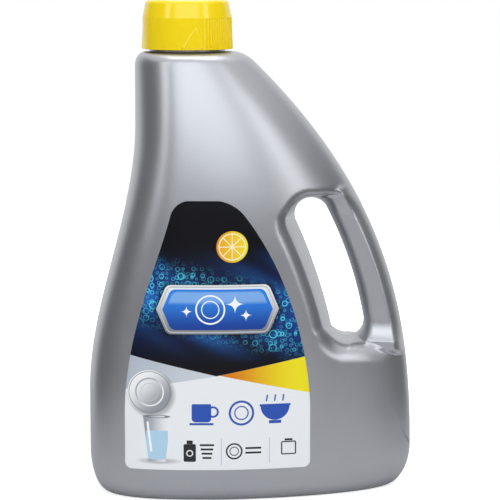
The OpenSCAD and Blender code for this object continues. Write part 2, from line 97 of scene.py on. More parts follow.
def ease(a: float, b: float, n: int, kind: str = "even") -> Array:
    """n values from a to just short of b, even or closer together at one end or both."""
    q = np.arange(n) / n
    shape = {
        "even": q,
        "late": np.sin(q * math.pi / 2),
        "early": 1 - np.cos(q * math.pi / 2),
        "both": (1 - np.cos(q * math.pi)) / 2,
    }[kind]
    return mix(a, b, shape)


def turn(angle: Array | float) -> Array:
    """The unit vectors at these angles, in radians, one to a row."""
    return np.stack([np.cos(angle), np.sin(angle)], -1)


# Meshes from grids of points


@dataclass
class Skin:
    """A mesh that is put together from grids of points, and closed by merging their seams."""

    points: list[Array] = field(default_factory=list)
    quads: list[Array] = field(default_factory=list)
    count: int = 0

    def grid(self, rows: Array, closed: bool = False, flip: bool = False) -> None:
        """Adds a grid of points, rows by columns by 3, and its four-sided faces.

        Args:
            rows: the points in millimetres.
            closed: joins the last column to the first one.
            flip: turns the faces the other way round.
        """
        n, m = rows.shape[:2]
        ids = self.count + np.arange(n * m).reshape(n, m)
        if closed:
            ids = np.concatenate([ids, ids[:, :1]], 1)
        a, b, c, d = ids[:-1, :-1], ids[:-1, 1:], ids[1:, 1:], ids[1:, :-1]
        faces = np.stack([a, d, c, b] if flip else [a, b, c, d], -1).reshape(-1, 4)
        self.points.append(rows.reshape(-1, 3))
        self.quads.append(faces)
        self.count += n * m

    def piece(self, name: str, material: bpy.types.Material,
              merge: float = 0.004) -> bpy.types.Object:
        """Makes the mesh and its object.

        Args:
            name: the object's name.
            material: the finish of the whole piece.
            merge: points closer than this, in millimetres, become one.

        Returns:
            The object, at the origin, with its place in its mesh.
        """
        points = np.concatenate(self.points)
        quads = np.concatenate(self.quads)
        _, first, back = np.unique(np.round(points / merge).astype(np.int64), axis=0,
                                   return_index=True, return_inverse=True)
        quads = back.reshape(-1)[quads]
        points = points[first] * MM
        same = quads == np.roll(quads, -1, 1)
        area = same.sum(1) < 2
        quads, same = quads[area], same[area]
        keep = ~same
        sizes = keep.sum(1)
        corners = quads[keep]
        starts = np.concatenate([[0], np.cumsum(sizes)[:-1]])
        mesh = bpy.data.meshes.new(name)
        mesh.vertices.add(len(points))
        mesh.vertices.foreach_set("co", points.astype(np.float32).ravel())
        mesh.loops.add(len(corners))
        mesh.loops.foreach_set("vertex_index", corners.astype(np.int32))
        mesh.polygons.add(len(sizes))
        mesh.polygons.foreach_set("loop_start", starts.astype(np.int32))
        mesh.update(calc_edges=True)
        mesh.validate()
        mesh.polygons.foreach_set("use_smooth", np.ones(len(mesh.polygons), bool))
        mesh.materials.append(material)
        made = bpy.data.objects.new(name, mesh)
        bpy.context.scene.collection.objects.link(made)
        return made


def lathe(profile: Array, columns: int, x: float) -> Array:
    """A profile of (radius, height) points turned round an upright axis at x.

    Returns:
        The grid of points: one row to a profile point, one column to an angle.
    """
    d = turn(np.arange(columns) * 2 * math.pi / columns)
    r = profile[:, None, 0]
    z = np.repeat(profile[:, 1:], columns, 1)
    return np.stack([x + r * d[None, :, 0], r * d[None, :, 1], z], -1)


def softened(corners: list[tuple[float, float, float]], steps: int = 5) -> Array:
    """A profile whose corners are rounded off.

    Args:
        corners: (radius, height, size of the rounding) for each corner.
        steps: points to a rounding.

    Returns:
        The profile's points. Each rounding is a curve between the two straight lines at its
        corner: the blend of (1 - q) squared, 2 q (1 - q) and q squared.
    """
    p = np.array([c[:2] for c in corners], float)
    size = np.array([c[2] for c in corners], float)
    made = [p[:1]]
    q = np.linspace(0, 1, steps)[:, None]
    for k in range(1, len(p) - 1):
        before, after = p[k - 1] - p[k], p[k + 1] - p[k]
        a = p[k] + before / np.linalg.norm(before) * min(size[k], np.linalg.norm(before) / 2)
        b = p[k] + after / np.linalg.norm(after) * min(size[k], np.linalg.norm(after) / 2)
        made.append((1 - q) ** 2 * a + 2 * q * (1 - q) * p[k] + q ** 2 * b)
    made.append(p[-1:])
    return np.concatenate(made)


def helix(x: float, z: float, root_r: float, crest_r: float, width: float, pitch: float,
          turns: float, start: float) -> Array:
    """A helical ridge with a rounded crest that fades into its root at both ends.

    Returns:
        Its grid of points: one row to a step along the ridge, one column round its section.
    """
    n = int(90 * turns)
    k = np.arange(n + 1)
    a = math.radians(start) + 2 * math.pi * turns * k / n
    h = z + pitch * turns * k / n
    fade = smooth(0.05 + np.minimum(k, n - k) / 10)
    q = np.linspace(0, math.pi, 9)
    r = root_r + (crest_r - root_r) * fade[:, None] * np.sin(q)[None, :] ** 0.7
    up = h[:, None] - width / 2 * np.cos(q)[None, :] * (1 - 0.35 * np.sin(q)[None, :])
    grid = np.stack([x + r * np.cos(a)[:, None], r * np.sin(a)[:, None], up], -1)
    middle = grid.mean(1, keepdims=True)
    return np.concatenate([middle[:1].repeat(9, 1), grid, middle[-1:].repeat(9, 1)])


# Node trees


class Pigment(enum.Enum):
    """Where a moulded plastic's colour sits."""

    PEARL = "pearl"
    SOLID = "solid"


class Tree:
    """Adds nodes to one node tree and links them."""

    def __init__(self, tree: bpy.types.NodeTree) -> None:
        """Keeps the tree that the nodes go into."""
        self.tree = tree

    def add(self, kind: str, **settings: object) -> bpy.types.Node:
        """Adds a node of this kind, with its settings."""
        node = self.tree.nodes.new(kind)
        for key, value in settings.items():
            setattr(node, key, value)
        return node

    def put(self, target: bpy.types.NodeSocket, value: object) -> None:
        """Links a socket to the target, or writes a plain value on it."""
        if isinstance(value, bpy.types.NodeSocket):
            self.tree.links.new(value, target)
        else:
            target.default_value = value

    def math(self, kind: str, a: object, b: object = 0.0, c: object = 0.0,
             clamp: bool = False) -> bpy.types.NodeSocket:
        """One step of arithmetic. Returns its value."""
        node = self.add("ShaderNodeMath", operation=kind, use_clamp=clamp)
        for socket, value in zip(node.inputs, (a, b, c)):
            self.put(socket, value)
        return node.outputs[0]

    def blend(self, share: object, low: object, high: object,
              kind: str = "MIX") -> bpy.types.NodeSocket:
        """The mixture of two colours. Returns the colour."""
        node = self.add("ShaderNodeMix", data_type="RGBA", blend_type=kind)
        self.put(node.inputs[0], share)
        for socket, value in zip(node.inputs[6:8], (low, high)):
            self.put(socket, (*value, 1.0) if isinstance(value, tuple) else value)
        return node.outputs[2]

    def ramp(self, value: object, low: float, high: float) -> bpy.types.NodeSocket:
        """A smooth step of a value from 0 at low to 1 at high. Returns the step."""
        node = self.add("ShaderNodeMapRange", interpolation_type="SMOOTHSTEP")
        for socket, number in zip(node.inputs, (value, low, high, 0.0, 1.0)):
            self.put(socket, number)
        return node.outputs[0]

    def place(self) -> bpy.types.NodeSocket:
        """The place on the object in millimetres. Returns the vector."""
        where = self.add("ShaderNodeTexCoord").outputs["Object"]
        scale = self.add("ShaderNodeVectorMath", operation="SCALE")
        self.put(scale.inputs[0], where)
        self.put(scale.inputs["Scale"], 1000.0)
        return scale.outputs[0]

    def axes(self, vector: object) -> list[bpy.types.NodeSocket]:
        """The three parts of a vector."""
        node = self.add("ShaderNodeSeparateXYZ")
        self.put(node.inputs[0], vector)
        return list(node.outputs)

    def rest(self, value: object) -> bpy.types.NodeSocket:
        """One less the value."""
        return self.math("SUBTRACT", 1.0, value)

    def hypot(self, a: object, b: object) -> bpy.types.NodeSocket:
        """The root of the sum of both values squared."""
        return self.math("SQRT", self.math("ADD", self.math("MULTIPLY", a, a),
                                           self.math("MULTIPLY", b, b)))

    def wave(self, value: object, pace: float) -> bpy.types.NodeSocket:
        """A half plus half the sine of a value times a pace."""
        return self.math("ADD", 0.5, self.math(
            "MULTIPLY", self.math("SINE", self.math("MULTIPLY", value, pace)), 0.5))

    def bump(self, height: object) -> bpy.types.NodeSocket:
        """Relief of this height in millimetres. Returns the normal."""
        node = self.add("ShaderNodeBump")
        node.inputs["Strength"].default_value = 1.0
        node.inputs["Distance"].default_value = MM
        self.put(node.inputs["Height"], height)
        return node.outputs[0]

    def effect(self, group: bpy.types.NodeTree, **values: object) -> bpy.types.Node:
        """Places a node group with these values on its inputs, spaces written as underlines."""
        node = self.add("ShaderNodeGroup", node_tree=group)
        for key, value in values.items():
            self.put(node.inputs[key.replace("_", " ")], value)
        return node


class Effects:
    """The node groups that more than one finish uses. Each is built once."""

    def __init__(self) -> None:
        """Builds every group."""
        self.grain = self.build_grain()
        self.round_mark = self.build_round_mark()
        self.bar_mark = self.build_bar_mark()
        self.side_mark = self.build_side_mark()
        self.sparkle_mark = self.build_sparkle_mark()

    @staticmethod
    def group(name: str, inputs: dict[str, float | None], outputs: tuple[str, ...]) -> tuple:
        """Starts a node group.

        Args:
            name: the group's name.
            inputs: each input with its usual value, or None for a vector.
            outputs: the names of its values.

        Returns:
            The group, a Tree for it, its input node and its output node.
        """
        made = bpy.data.node_groups.new(name, "ShaderNodeTree")
        for key, value in inputs.items():
            kind = "NodeSocketVector" if value is None else "NodeSocketFloat"
            socket = made.interface.new_socket(name=key, in_out="INPUT", socket_type=kind)
            if value is not None:
                socket.default_value = value
        for key in outputs:
            made.interface.new_socket(name=key, in_out="OUTPUT", socket_type="NodeSocketFloat")
        tree = Tree(made)
        return made, tree, tree.add("NodeGroupInput"), tree.add("NodeGroupOutput")

    def build_grain(self) -> bpy.types.NodeTree:
        """Moulded grain: fine blots, coarser clouds and a few scuffs, as a shade and a height."""
        made, t, inside, outside = self.group(
            "Moulded grain", {"Place": None, "Size": 0.5, "Cloud Size": 30.0, "Scuffs": 0.5},
            ("Shade", "Height", "Wear"))
        where, size, cloud = (inside.outputs[key] for key in ("Place", "Size", "Cloud Size"))

        def blots(scale_of: object, detail: float) -> bpy.types.NodeSocket:
            """Noise whose size is an input of the group."""
            node = t.add("ShaderNodeTexNoise")
            t.put(node.inputs["Vector"], where)
            t.put(node.inputs["Scale"], t.math("DIVIDE", 1.0, scale_of))
            t.put(node.inputs["Detail"], detail)
            return node.outputs[0]

        fine = blots(size, 3.0)
        clouds = blots(cloud, 2.0)
        shade = t.math("ADD", t.math("MULTIPLY", fine, 0.6), t.math("MULTIPLY", clouds, 0.4))
        stretch = t.add("ShaderNodeMapping")
        t.put(stretch.inputs["Vector"], where)
        stretch.inputs["Rotation"].default_value = (0.0, 0.5, 0.3)
        stretch.inputs["Scale"].default_value = (0.9, 0.9, 0.06)
        lines = t.add("ShaderNodeTexNoise")
        t.put(lines.inputs["Vector"], stretch.outputs[0])
        lines.inputs["Scale"].default_value = 1.4
        scuff = t.math("MULTIPLY", t.ramp(lines.outputs[0], 0.66, 0.74), t.ramp(clouds, 0.5, 0.62))
        t.put(outside.inputs["Shade"], shade)
        t.put(outside.inputs["Height"], fine)
        t.put(outside.inputs["Wear"], t.math("MULTIPLY", scuff, inside.outputs["Scuffs"]))
        return made

    def shape_start(self, name: str, sizes: dict[str, float]) -> tuple:
        """Starts the group of a printed shape, with its place turned and set about its centre."""
        inputs = {"Place": None, "Centre X": 0.0, "Centre Z": 0.0, "Turn": 0.0, **sizes,
                  "Line": 1000.0, "Soft": 0.12}
        made, t, inside, outside = self.group(name, inputs, ("Mask",))
        x, _, z = t.axes(inside.outputs["Place"])
        dx = t.math("SUBTRACT", x, inside.outputs["Centre X"])
        dz = t.math("SUBTRACT", z, inside.outputs["Centre Z"])
        c = t.math("COSINE", inside.outputs["Turn"])
        s = t.math("SINE", inside.outputs["Turn"])
        u = t.math("ADD", t.math("MULTIPLY", dx, c), t.math("MULTIPLY", dz, s))
        v = t.math("SUBTRACT", t.math("MULTIPLY", dz, c), t.math("MULTIPLY", dx, s))
        return made, t, inside, outside, u, v

    @staticmethod
    def shape_end(t: Tree, inside: bpy.types.Node, outside: bpy.types.Node, far: object) -> None:
        """Turns the distance from a shape's edge into its mask, whole or as a line inside it."""
        half = t.math("MULTIPLY", inside.outputs["Line"], 0.5)
        edge = t.math("SUBTRACT", t.math("ABSOLUTE", t.math("ADD", far, half)), half)
        t.put(outside.inputs["Mask"], t.math(
            "SUBTRACT", 0.5, t.math("DIVIDE", edge, inside.outputs["Soft"]), clamp=True))

    def build_round_mark(self) -> bpy.types.NodeTree:
        """A printed disc, or a ring where Line is small. Wide makes it an oval."""
        made, t, inside, outside, u, v = self.shape_start(
            "Round mark", {"Radius": 5.0, "Wide": 1.0})
        wide = t.math("DIVIDE", u, inside.outputs["Wide"])
        self.shape_end(t, inside, outside,
                       t.math("SUBTRACT", t.hypot(wide, v), inside.outputs["Radius"]))
        return made

    def build_bar_mark(self) -> bpy.types.NodeTree:
        """A printed bar with rounded corners, whose ends may lean in to a point."""
        made, t, inside, outside, u, v = self.shape_start(
            "Bar mark", {"Half Width": 5.0, "Half Height": 1.0, "Corner": 0.2, "Lean": 0.0})
        v_far = t.math("ABSOLUTE", v)
        lean = t.math("MULTIPLY", inside.outputs["Lean"], v_far)
        qx = t.math("ADD", t.math("SUBTRACT", t.math("ADD", t.math("ABSOLUTE", u), lean),
                                  inside.outputs["Half Width"]), inside.outputs["Corner"])
        qz = t.math("ADD", t.math("SUBTRACT", v_far, inside.outputs["Half Height"]),
                    inside.outputs["Corner"])
        ax, az = t.math("MAXIMUM", qx, 0.0), t.math("MAXIMUM", qz, 0.0)
        out = t.hypot(ax, az)
        inner = t.math("MINIMUM", t.math("MAXIMUM", qx, qz), 0.0)
        self.shape_end(t, inside, outside,
                       t.math("SUBTRACT", t.math("ADD", out, inner), inside.outputs["Corner"]))
        return made

    def build_side_mark(self) -> bpy.types.NodeTree:
        """Everything on the lower side of a straight line through the centre."""
        made, t, inside, outside, _, v = self.shape_start("Side mark", {})
        self.shape_end(t, inside, outside, v)
        return made

    def build_sparkle_mark(self) -> bpy.types.NodeTree:
        """A four-pointed sparkle: the sum of the roots of both distances, squared."""
        made, t, inside, outside, u, v = self.shape_start("Sparkle mark", {"Reach": 3.0})
        root = t.math("ADD", *(t.math("SQRT", t.math("ABSOLUTE", part)) for part in (u, v)))
        far = t.math("MULTIPLY", t.math("SUBTRACT", t.math("MULTIPLY", root, root),
                                        inside.outputs["Reach"]), 0.5)
        self.shape_end(t, inside, outside, far)
        return made


class Print:
    """Layers of flat ink on one label, from the lowest to the topmost."""

    def __init__(self, tree: Tree, effects: Effects, ground: object) -> None:
        """Starts with the ground colour."""
        self.tree = tree
        self.effects = effects
        self.place = tree.place()
        self.colour = ground

    def mark(self, group: bpy.types.NodeTree, x: float, z: float,
             **values: float) -> bpy.types.NodeSocket:
        """Places one printed shape with its centre here. Returns its mask."""
        return self.tree.effect(group, Place=self.place, Centre_X=x, Centre_Z=z,
                                **values).outputs[0]

    def disc(self, x: float, z: float, radius: float, line: float = 1000.0, wide: float = 1.0,
             soft: float = 0.12, tilt: float = 0.0) -> bpy.types.NodeSocket:
        """A disc or ring. Returns its mask."""
        return self.mark(self.effects.round_mark, x, z, Radius=radius, Wide=wide, Turn=tilt,
                         Line=line, Soft=soft)

    def bar(self, x: float, z: float, half_w: float, half_h: float, corner: float = 0.2,
            tilt: float = 0.0, line: float = 1000.0, lean: float = 0.0,
            soft: float = 0.12) -> bpy.types.NodeSocket:
        """A bar, or its outline. Returns its mask."""
        return self.mark(self.effects.bar_mark, x, z, Half_Width=half_w, Half_Height=half_h,
                         Corner=corner, Turn=tilt, Line=line, Lean=lean, Soft=soft)

    def below(self, x: float, z: float, tilt: float, soft: float = 0.12) -> bpy.types.NodeSocket:
        """The side below a straight line. Returns its mask."""
        return self.mark(self.effects.side_mark, x, z, Turn=tilt, Soft=soft)

    def sparkle(self, x: float, z: float, reach: float) -> bpy.types.NodeSocket:
        """A four-pointed sparkle. Returns its mask."""
        return self.mark(self.effects.sparkle_mark, x, z, Reach=reach, Soft=0.25)

    def both(self, *masks: bpy.types.NodeSocket) -> bpy.types.NodeSocket:
        """Where all of the masks are. Returns their product."""
        made = masks[0]
        for mask in masks[1:]:
            made = self.tree.math("MULTIPLY", made, mask)
        return made

    def either(self, *masks: bpy.types.NodeSocket) -> bpy.types.NodeSocket:
        """Where any of the masks is. Returns their maximum."""
        made = masks[0]
        for mask in masks[1:]:
            made = self.tree.math("MAXIMUM", made, mask)
        return made

    def without(self, mask: bpy.types.NodeSocket) -> bpy.types.NodeSocket:
        """Where the mask isn't."""
        return self.tree.rest(mask)

    def lay(self, mask: bpy.types.NodeSocket, ink: object, strength: float = 1.0) -> None:
        """Lays one ink over what is there."""
        share = self.tree.math("MULTIPLY", mask, strength) if strength < 1 else mask
        self.colour = self.tree.blend(share, self.colour, ink)


# Finishes


def new_finish(name: str) -> tuple[bpy.types.Material, Tree, bpy.types.Node]:
    """Starts a material. Returns it, a Tree for its nodes and its shader."""
    made = bpy.data.materials.new(name)
    made.use_nodes = True
    return made, Tree(made.node_tree), made.node_tree.nodes["Principled BSDF"]


@dataclass(frozen=True)
class MouldedPlastic:
    """A moulded plastic: its pigment, its gloss, its fine grain, and its parting line: a small
    raised ridge with painted shade along it.
    """

    name: str
    colour: Colour
    shade: Colour
    pigment: Pigment
    roughness: float
    grain: float
    grain_size: float
    parting: float = 0.0
    # The next two set the colour and the strength of the painted shade along the parting line.
    parting_painted_shade: float = 0.16
    parting_shade_share: float = 0.72
    parting_up: float = 0.12
    sheen_clouds: float = 0.08
    contrast: float = 1.6
    scuff_rough: float = 0.10
    pearl_metal: float = 0.86

    def material(self, effects: Effects) -> bpy.types.Material:
        """Builds the finish.

        Args:
            effects: the shared node groups.

        Returns:
            The material.
        """
        made, t, shader = new_finish(self.name)
        place = t.place()
        grain = t.effect(effects.grain, Place=place, Size=self.grain_size, Cloud_Size=34.0,
                         Scuffs=0.5)
        off = t.math("SUBTRACT", grain.outputs["Shade"], 0.5)
        share = t.math("MULTIPLY", off, self.contrast)
        colour = t.blend(t.math("ADD", share, 0.5, clamp=True), self.shade, self.colour)
        rough = t.math("ADD", self.roughness, t.math("MULTIPLY", off, self.sheen_clouds))
        wear = t.math("MULTIPLY", grain.outputs["Wear"], self.scuff_rough)
        rough = t.math("ADD", rough, wear, clamp=True)
        height = t.math("MULTIPLY", grain.outputs["Height"], self.grain)
        # The parting line: a thin dark line of painted shade along y = 0 stands in for the shading
        # of its ridge; the small bump added with it is real relief.
        if self.parting:
            _, y, _ = t.axes(place)
            line = t.rest(t.ramp(t.math("ABSOLUTE", y), self.parting * 0.4, self.parting))
            dark = tuple(c * self.parting_painted_shade for c in self.shade)
            colour = t.blend(t.math("MULTIPLY", line, self.parting_shade_share), colour, dark)
            height = t.math("ADD", height, t.math("MULTIPLY", line, self.parting_up))
        t.put(shader.inputs["Base Color"], colour)
        t.put(shader.inputs["Roughness"], rough)
        t.put(shader.inputs["Normal"], t.bump(height))
        pearl = self.pigment is Pigment.PEARL
        shader.inputs["Metallic"].default_value = self.pearl_metal if pearl else 0.0
        shader.inputs["IOR"].default_value = 1.5
        return made


@dataclass(frozen=True)
class PrintedFilm:
    """The printed film of a label: which design it carries, and its gloss."""

    name: str
    front: bool
    roughness: float = 0.34
    scuff_rough: float = 0.12
    relief: float = 0.004
    tint: float = 0.06

    def material(self, effects: Effects) -> bpy.types.Material:
        """Builds the printed film.

        Args:
            effects: the shared node groups.

        Returns:
            The material.
        """
        made, t, shader = new_finish(self.name)
        design = FrontDesign(t, effects) if self.front else BackDesign(t, effects)
        colour = design.draw()
        grain = t.effect(effects.grain, Place=design.print.place, Size=0.35, Cloud_Size=22.0,
                         Scuffs=0.4)
        tint = t.math("ADD", 1.0 - self.tint / 2,
                      t.math("MULTIPLY", grain.outputs["Shade"], self.tint))
        colour = t.blend(1.0, colour, t.blend(tint, (0.0, 0.0, 0.0), (1.0, 1.0, 1.0)), "MULTIPLY")
        wear = t.math("MULTIPLY", grain.outputs["Wear"], self.scuff_rough)
        t.put(shader.inputs["Base Color"], colour)
        t.put(shader.inputs["Roughness"], t.math("ADD", self.roughness, wear))
        t.put(shader.inputs["Normal"],
              t.bump(t.math("MULTIPLY", grain.outputs["Height"], self.relief)))
        shader.inputs["IOR"].default_value = 1.25
        return made


@dataclass(frozen=True)
class Inks:
    """The inks of both labels, as linear colours."""

    black: Colour = (0.004, 0.004, 0.007)
    navy: Colour = (0.007, 0.02, 0.085)
    blue: Colour = (0.02, 0.10, 0.50)
    bright: Colour = (0.03, 0.22, 0.75)
    cyan: Colour = (0.09, 0.62, 0.80)
    pale: Colour = (0.55, 0.80, 0.92)
    grey: Colour = (0.44, 0.49, 0.56)
    white: Colour = (0.80, 0.82, 0.84)
    silver: Colour = (0.50, 0.52, 0.55)
    dark_silver: Colour = (0.20, 0.21, 0.23)
    orange: Colour = (0.68, 0.20, 0.012)
    yellow: Colour = (0.84, 0.72, 0.02)
    line: Colour = (0.36, 0.50, 0.74)
    soot: Colour = (0.03, 0.03, 0.035)


class Design:
    """What both labels share: the tree, the inks, and the print on its ground."""

    ground: str = "white"

    def __init__(self, tree: Tree, effects: Effects) -> None:
        """Starts the print on the ground's ink."""
        self.tree = tree
        self.inks = Inks()
        self.print = Print(tree, effects, getattr(self.inks, self.ground))


class FrontDesign(Design):
    """The front label: dark field with bubbles, a blank plaque, two wedges and plain signs."""

    ground: str = "black"
    fold_x: float = -18.7
    fold_z: float = 71.1

    def draw(self) -> bpy.types.NodeSocket:
        """Draws every layer. Returns the colour."""
        self.draw_night()
        self.draw_bubbles()
        self.draw_fields()
        self.draw_plaque()
        self.draw_slice()
        self.draw_plate()
        self.draw_signs()
        return self.print.colour

    def draw_night(self) -> None:
        """The dark field: soft blue light in slanted beams across its middle."""
        t, p, ink = self.tree, self.print, self.inks
        x, _, z = t.axes(p.place)
        along = t.math("ADD", t.math("MULTIPLY", x, 0.55), t.math("MULTIPLY", z, 0.83))
        middle = t.rest(t.ramp(t.math("ABSOLUTE", t.math("SUBTRACT", z, 110.0)), 4.0, 34.0))
        beams, soft = t.wave(along, 0.32), t.wave(along, 0.117)
        p.lay(middle, ink.navy)
        p.lay(t.math("MULTIPLY", middle, t.math("MULTIPLY", beams, soft)), ink.bright, 0.55)
        right = p.disc(26.0, 101.0, 0.0, soft=50.0)
        left = p.disc(-58.0, 121.0, 0.0, soft=40.0)
        p.lay(p.either(right, left), ink.blue, 0.8)

    def draw_bubbles(self) -> None:
        """Bubbles of three sizes round the points of a jittered pattern, in a slanted band."""
        t, p, ink = self.tree, self.print, self.inks
        x, _, z = t.axes(p.place)
        flat = t.add("ShaderNodeCombineXYZ")
        t.put(flat.inputs[0], x)
        t.put(flat.inputs[1], z)
        band = t.math("ADD", 105.0, t.math("MULTIPLY", x, -0.24))
        zone = t.rest(t.ramp(t.math("ABSOLUTE", t.math("SUBTRACT", z, band)), 7.0, 23.0))
        for cell, line, strength in ((2.7, 0.22, 0.55), (4.6, 0.30, 0.8), (8.2, 0.40, 1.0)):
            dots = t.add("ShaderNodeTexVoronoi", voronoi_dimensions="2D")
            t.put(dots.inputs["Vector"], flat.outputs[0])
            dots.inputs["Scale"].default_value = 1.0 / cell
            dots.inputs["Randomness"].default_value = 0.6
            pick = t.axes(dots.outputs["Color"])
            size = t.math("ADD", 0.5, t.math("MULTIPLY", pick[0], 0.22 * cell))
            far = t.math("SUBTRACT", t.math("MULTIPLY", dots.outputs["Distance"], cell), size)
            ring = t.rest(t.ramp(t.math("ABSOLUTE", far), line * 0.35, line))
            body = t.rest(t.ramp(far, -0.5 * cell, 0.1))
            here = t.math("MULTIPLY", zone, t.ramp(pick[1], 0.25, 0.45))
            p.lay(t.math("MULTIPLY", body, here), ink.bright, 0.5 * strength)
            p.lay(t.math("MULTIPLY", ring, here), ink.cyan, strength)

    def draw_fields(self) -> None:
        """The grey wedge, the white field and the orange to yellow wedge below the dark field."""
        t, p, ink = self.tree, self.print, self.inks
        x = t.axes(p.place)[0]
        fx, fz = self.fold_x, self.fold_z
        left = p.below(fx, fz, math.atan2(fz - 82.2, fx + 66.0))
        right = p.below(fx, fz, math.atan2(80.8 - fz, 30.6 - fx))
        west = t.ramp(t.math("MULTIPLY", x, -1.0), -fx, -fx + 0.01)
        upper = p.either(p.both(left, west), p.both(right, p.without(west)))
        p.lay(upper, ink.white)
        grey_low = p.without(p.below(fx, fz, math.atan2(fz - 63.6, fx + 66.0)))
        fade = t.ramp(x, fx, fx - 52.0)
        p.lay(p.both(upper, west, grey_low), t.blend(fade, (0.58, 0.62, 0.68), ink.grey))
        gold_low = p.without(p.below(fx + 6.0, fz - 0.6, math.atan2(61.0 - fz, 32.6 - fx - 6.0)))
        hue = t.blend(t.ramp(x, fx + 4.0, fx + 46.0), ink.orange, ink.yellow)
        p.lay(p.both(upper, p.without(west), gold_low), hue)

    def draw_plaque(self) -> None:
        """A blank plaque with leaning ends: silver rim, blue face, gloss, and plain sparkles."""
        t, p, ink = self.tree, self.print, self.inks
        cx, cz = -18.0, 108.0
        _, _, z = t.axes(p.place)
        shape = dict(x=cx, z=cz, corner=2.4, lean=0.42)
        p.lay(p.bar(half_w=35.5, half_h=14.6, soft=3.0, **shape), ink.black, 0.75)
        rim = t.blend(t.ramp(z, cz - 14.0, cz + 14.0), ink.dark_silver, ink.white)
        p.lay(p.bar(half_w=33.6, half_h=13.6, **shape), rim)
        p.lay(p.bar(half_w=32.6, half_h=12.9, line=0.7, **shape), ink.silver)
        face = t.blend(t.ramp(z, cz - 12.0, cz + 8.0), (0.012, 0.05, 0.30), ink.bright)
        p.lay(p.bar(half_w=30.2, half_h=11.2, **shape), face)
        p.lay(p.both(p.bar(half_w=28.4, half_h=9.8, soft=0.8, **shape),
                     p.without(p.below(cx, cz + 3.6, 0.0, soft=2.0))), ink.pale, 0.34)
        white = (0.88, 0.92, 0.96)
        p.lay(p.disc(cx - 4.0, cz, 8.2, line=0.9), white)
        p.lay(p.disc(cx - 4.0, cz, 5.0, line=0.55), white)
        p.lay(p.either(p.sparkle(cx + 9.5, cz + 3.0, 5.6), p.sparkle(cx + 15.5, cz - 3.2, 3.6),
                       p.sparkle(cx - 17.0, cz - 1.0, 3.4)), white)

    def draw_slice(self) -> None:
        """A slice of citrus fruit in orange and yellow."""
        t, p, ink = self.tree, self.print, self.inks
        cx, cz, r = -10.0, 142.5, 8.6
        x = t.axes(p.place)[0]
        peel = t.blend(t.ramp(x, cx - r, cx + r), (0.78, 0.30, 0.02), ink.yellow)
        p.lay(p.disc(cx, cz, r), peel)
        p.lay(p.disc(cx, cz, r - 1.1), (0.90, 0.84, 0.52))
        flesh = t.blend(t.ramp(x, cx - r, cx + r), (0.84, 0.40, 0.02), (0.88, 0.66, 0.03))
        p.lay(p.disc(cx, cz, r - 1.8), flesh)
        spokes = p.either(*(p.bar(cx, cz, r - 1.5, 0.28, 0.1, tilt=k * math.pi / 4)
                            for k in range(4)))
        p.lay(spokes, (0.92, 0.86, 0.56))

    def draw_plate(self) -> None:
        """A plate and a drinking glass in silver greys at the lower left."""
        t, p, ink = self.tree, self.print, self.inks
        cx, cz = -55.5, 62.0
        x, _, z = t.axes(p.place)
        p.lay(p.disc(cx + 1.2, cz - 1.4, 12.6, soft=2.6), ink.black, 0.45)
        glaze = t.blend(t.ramp(t.math("SUBTRACT", z, x), cz - cx - 14.0, cz - cx + 14.0),
                        (0.30, 0.32, 0.35), (0.86, 0.87, 0.88))
        p.lay(p.disc(cx, cz, 12.2), glaze)
        p.lay(p.disc(cx, cz, 11.6, line=0.35), ink.dark_silver)
        inner = t.blend(t.ramp(t.math("SUBTRACT", z, x), cz - cx - 9.0, cz - cx + 9.0),
                        (0.84, 0.85, 0.87), (0.36, 0.38, 0.41))
        p.lay(p.disc(cx, cz, 8.0), inner)
        p.lay(p.disc(cx, cz, 7.2), glaze)
        p.lay(p.disc(cx, cz, 5.0, line=0.3), ink.silver)
        gx, gz = -51.5, 36.0
        body = p.both(p.bar(gx, gz, 8.4, 13.0, 0.8),
                      p.without(p.below(gx + 7.8, gz + 13.0, math.radians(83))),
                      p.without(p.below(gx - 7.8, gz + 13.0, math.radians(-83))))
        p.lay(p.disc(gx + 1.0, gz - 12.6, 1.5, wide=6.5, soft=1.2), ink.black, 0.4)
        p.lay(body, t.blend(t.ramp(x, gx - 7.0, gx + 7.0), (0.30, 0.33, 0.37), (0.80, 0.83, 0.86)))
        p.lay(p.both(body, p.below(gx, gz + 4.5, 0.0), p.bar(gx, gz - 3.2, 6.0, 8.4, 1.0)),
              (0.42, 0.62, 0.78))
        shine = p.bar(gx - 4.2, gz + 1.0, 0.6, 8.6, 0.5, tilt=math.radians(7))
        p.lay(shine, (0.95, 0.96, 0.97), 0.9)
        p.lay(p.disc(gx, gz + 12.4, 0.9, wide=8.2, line=0.35), ink.dark_silver)

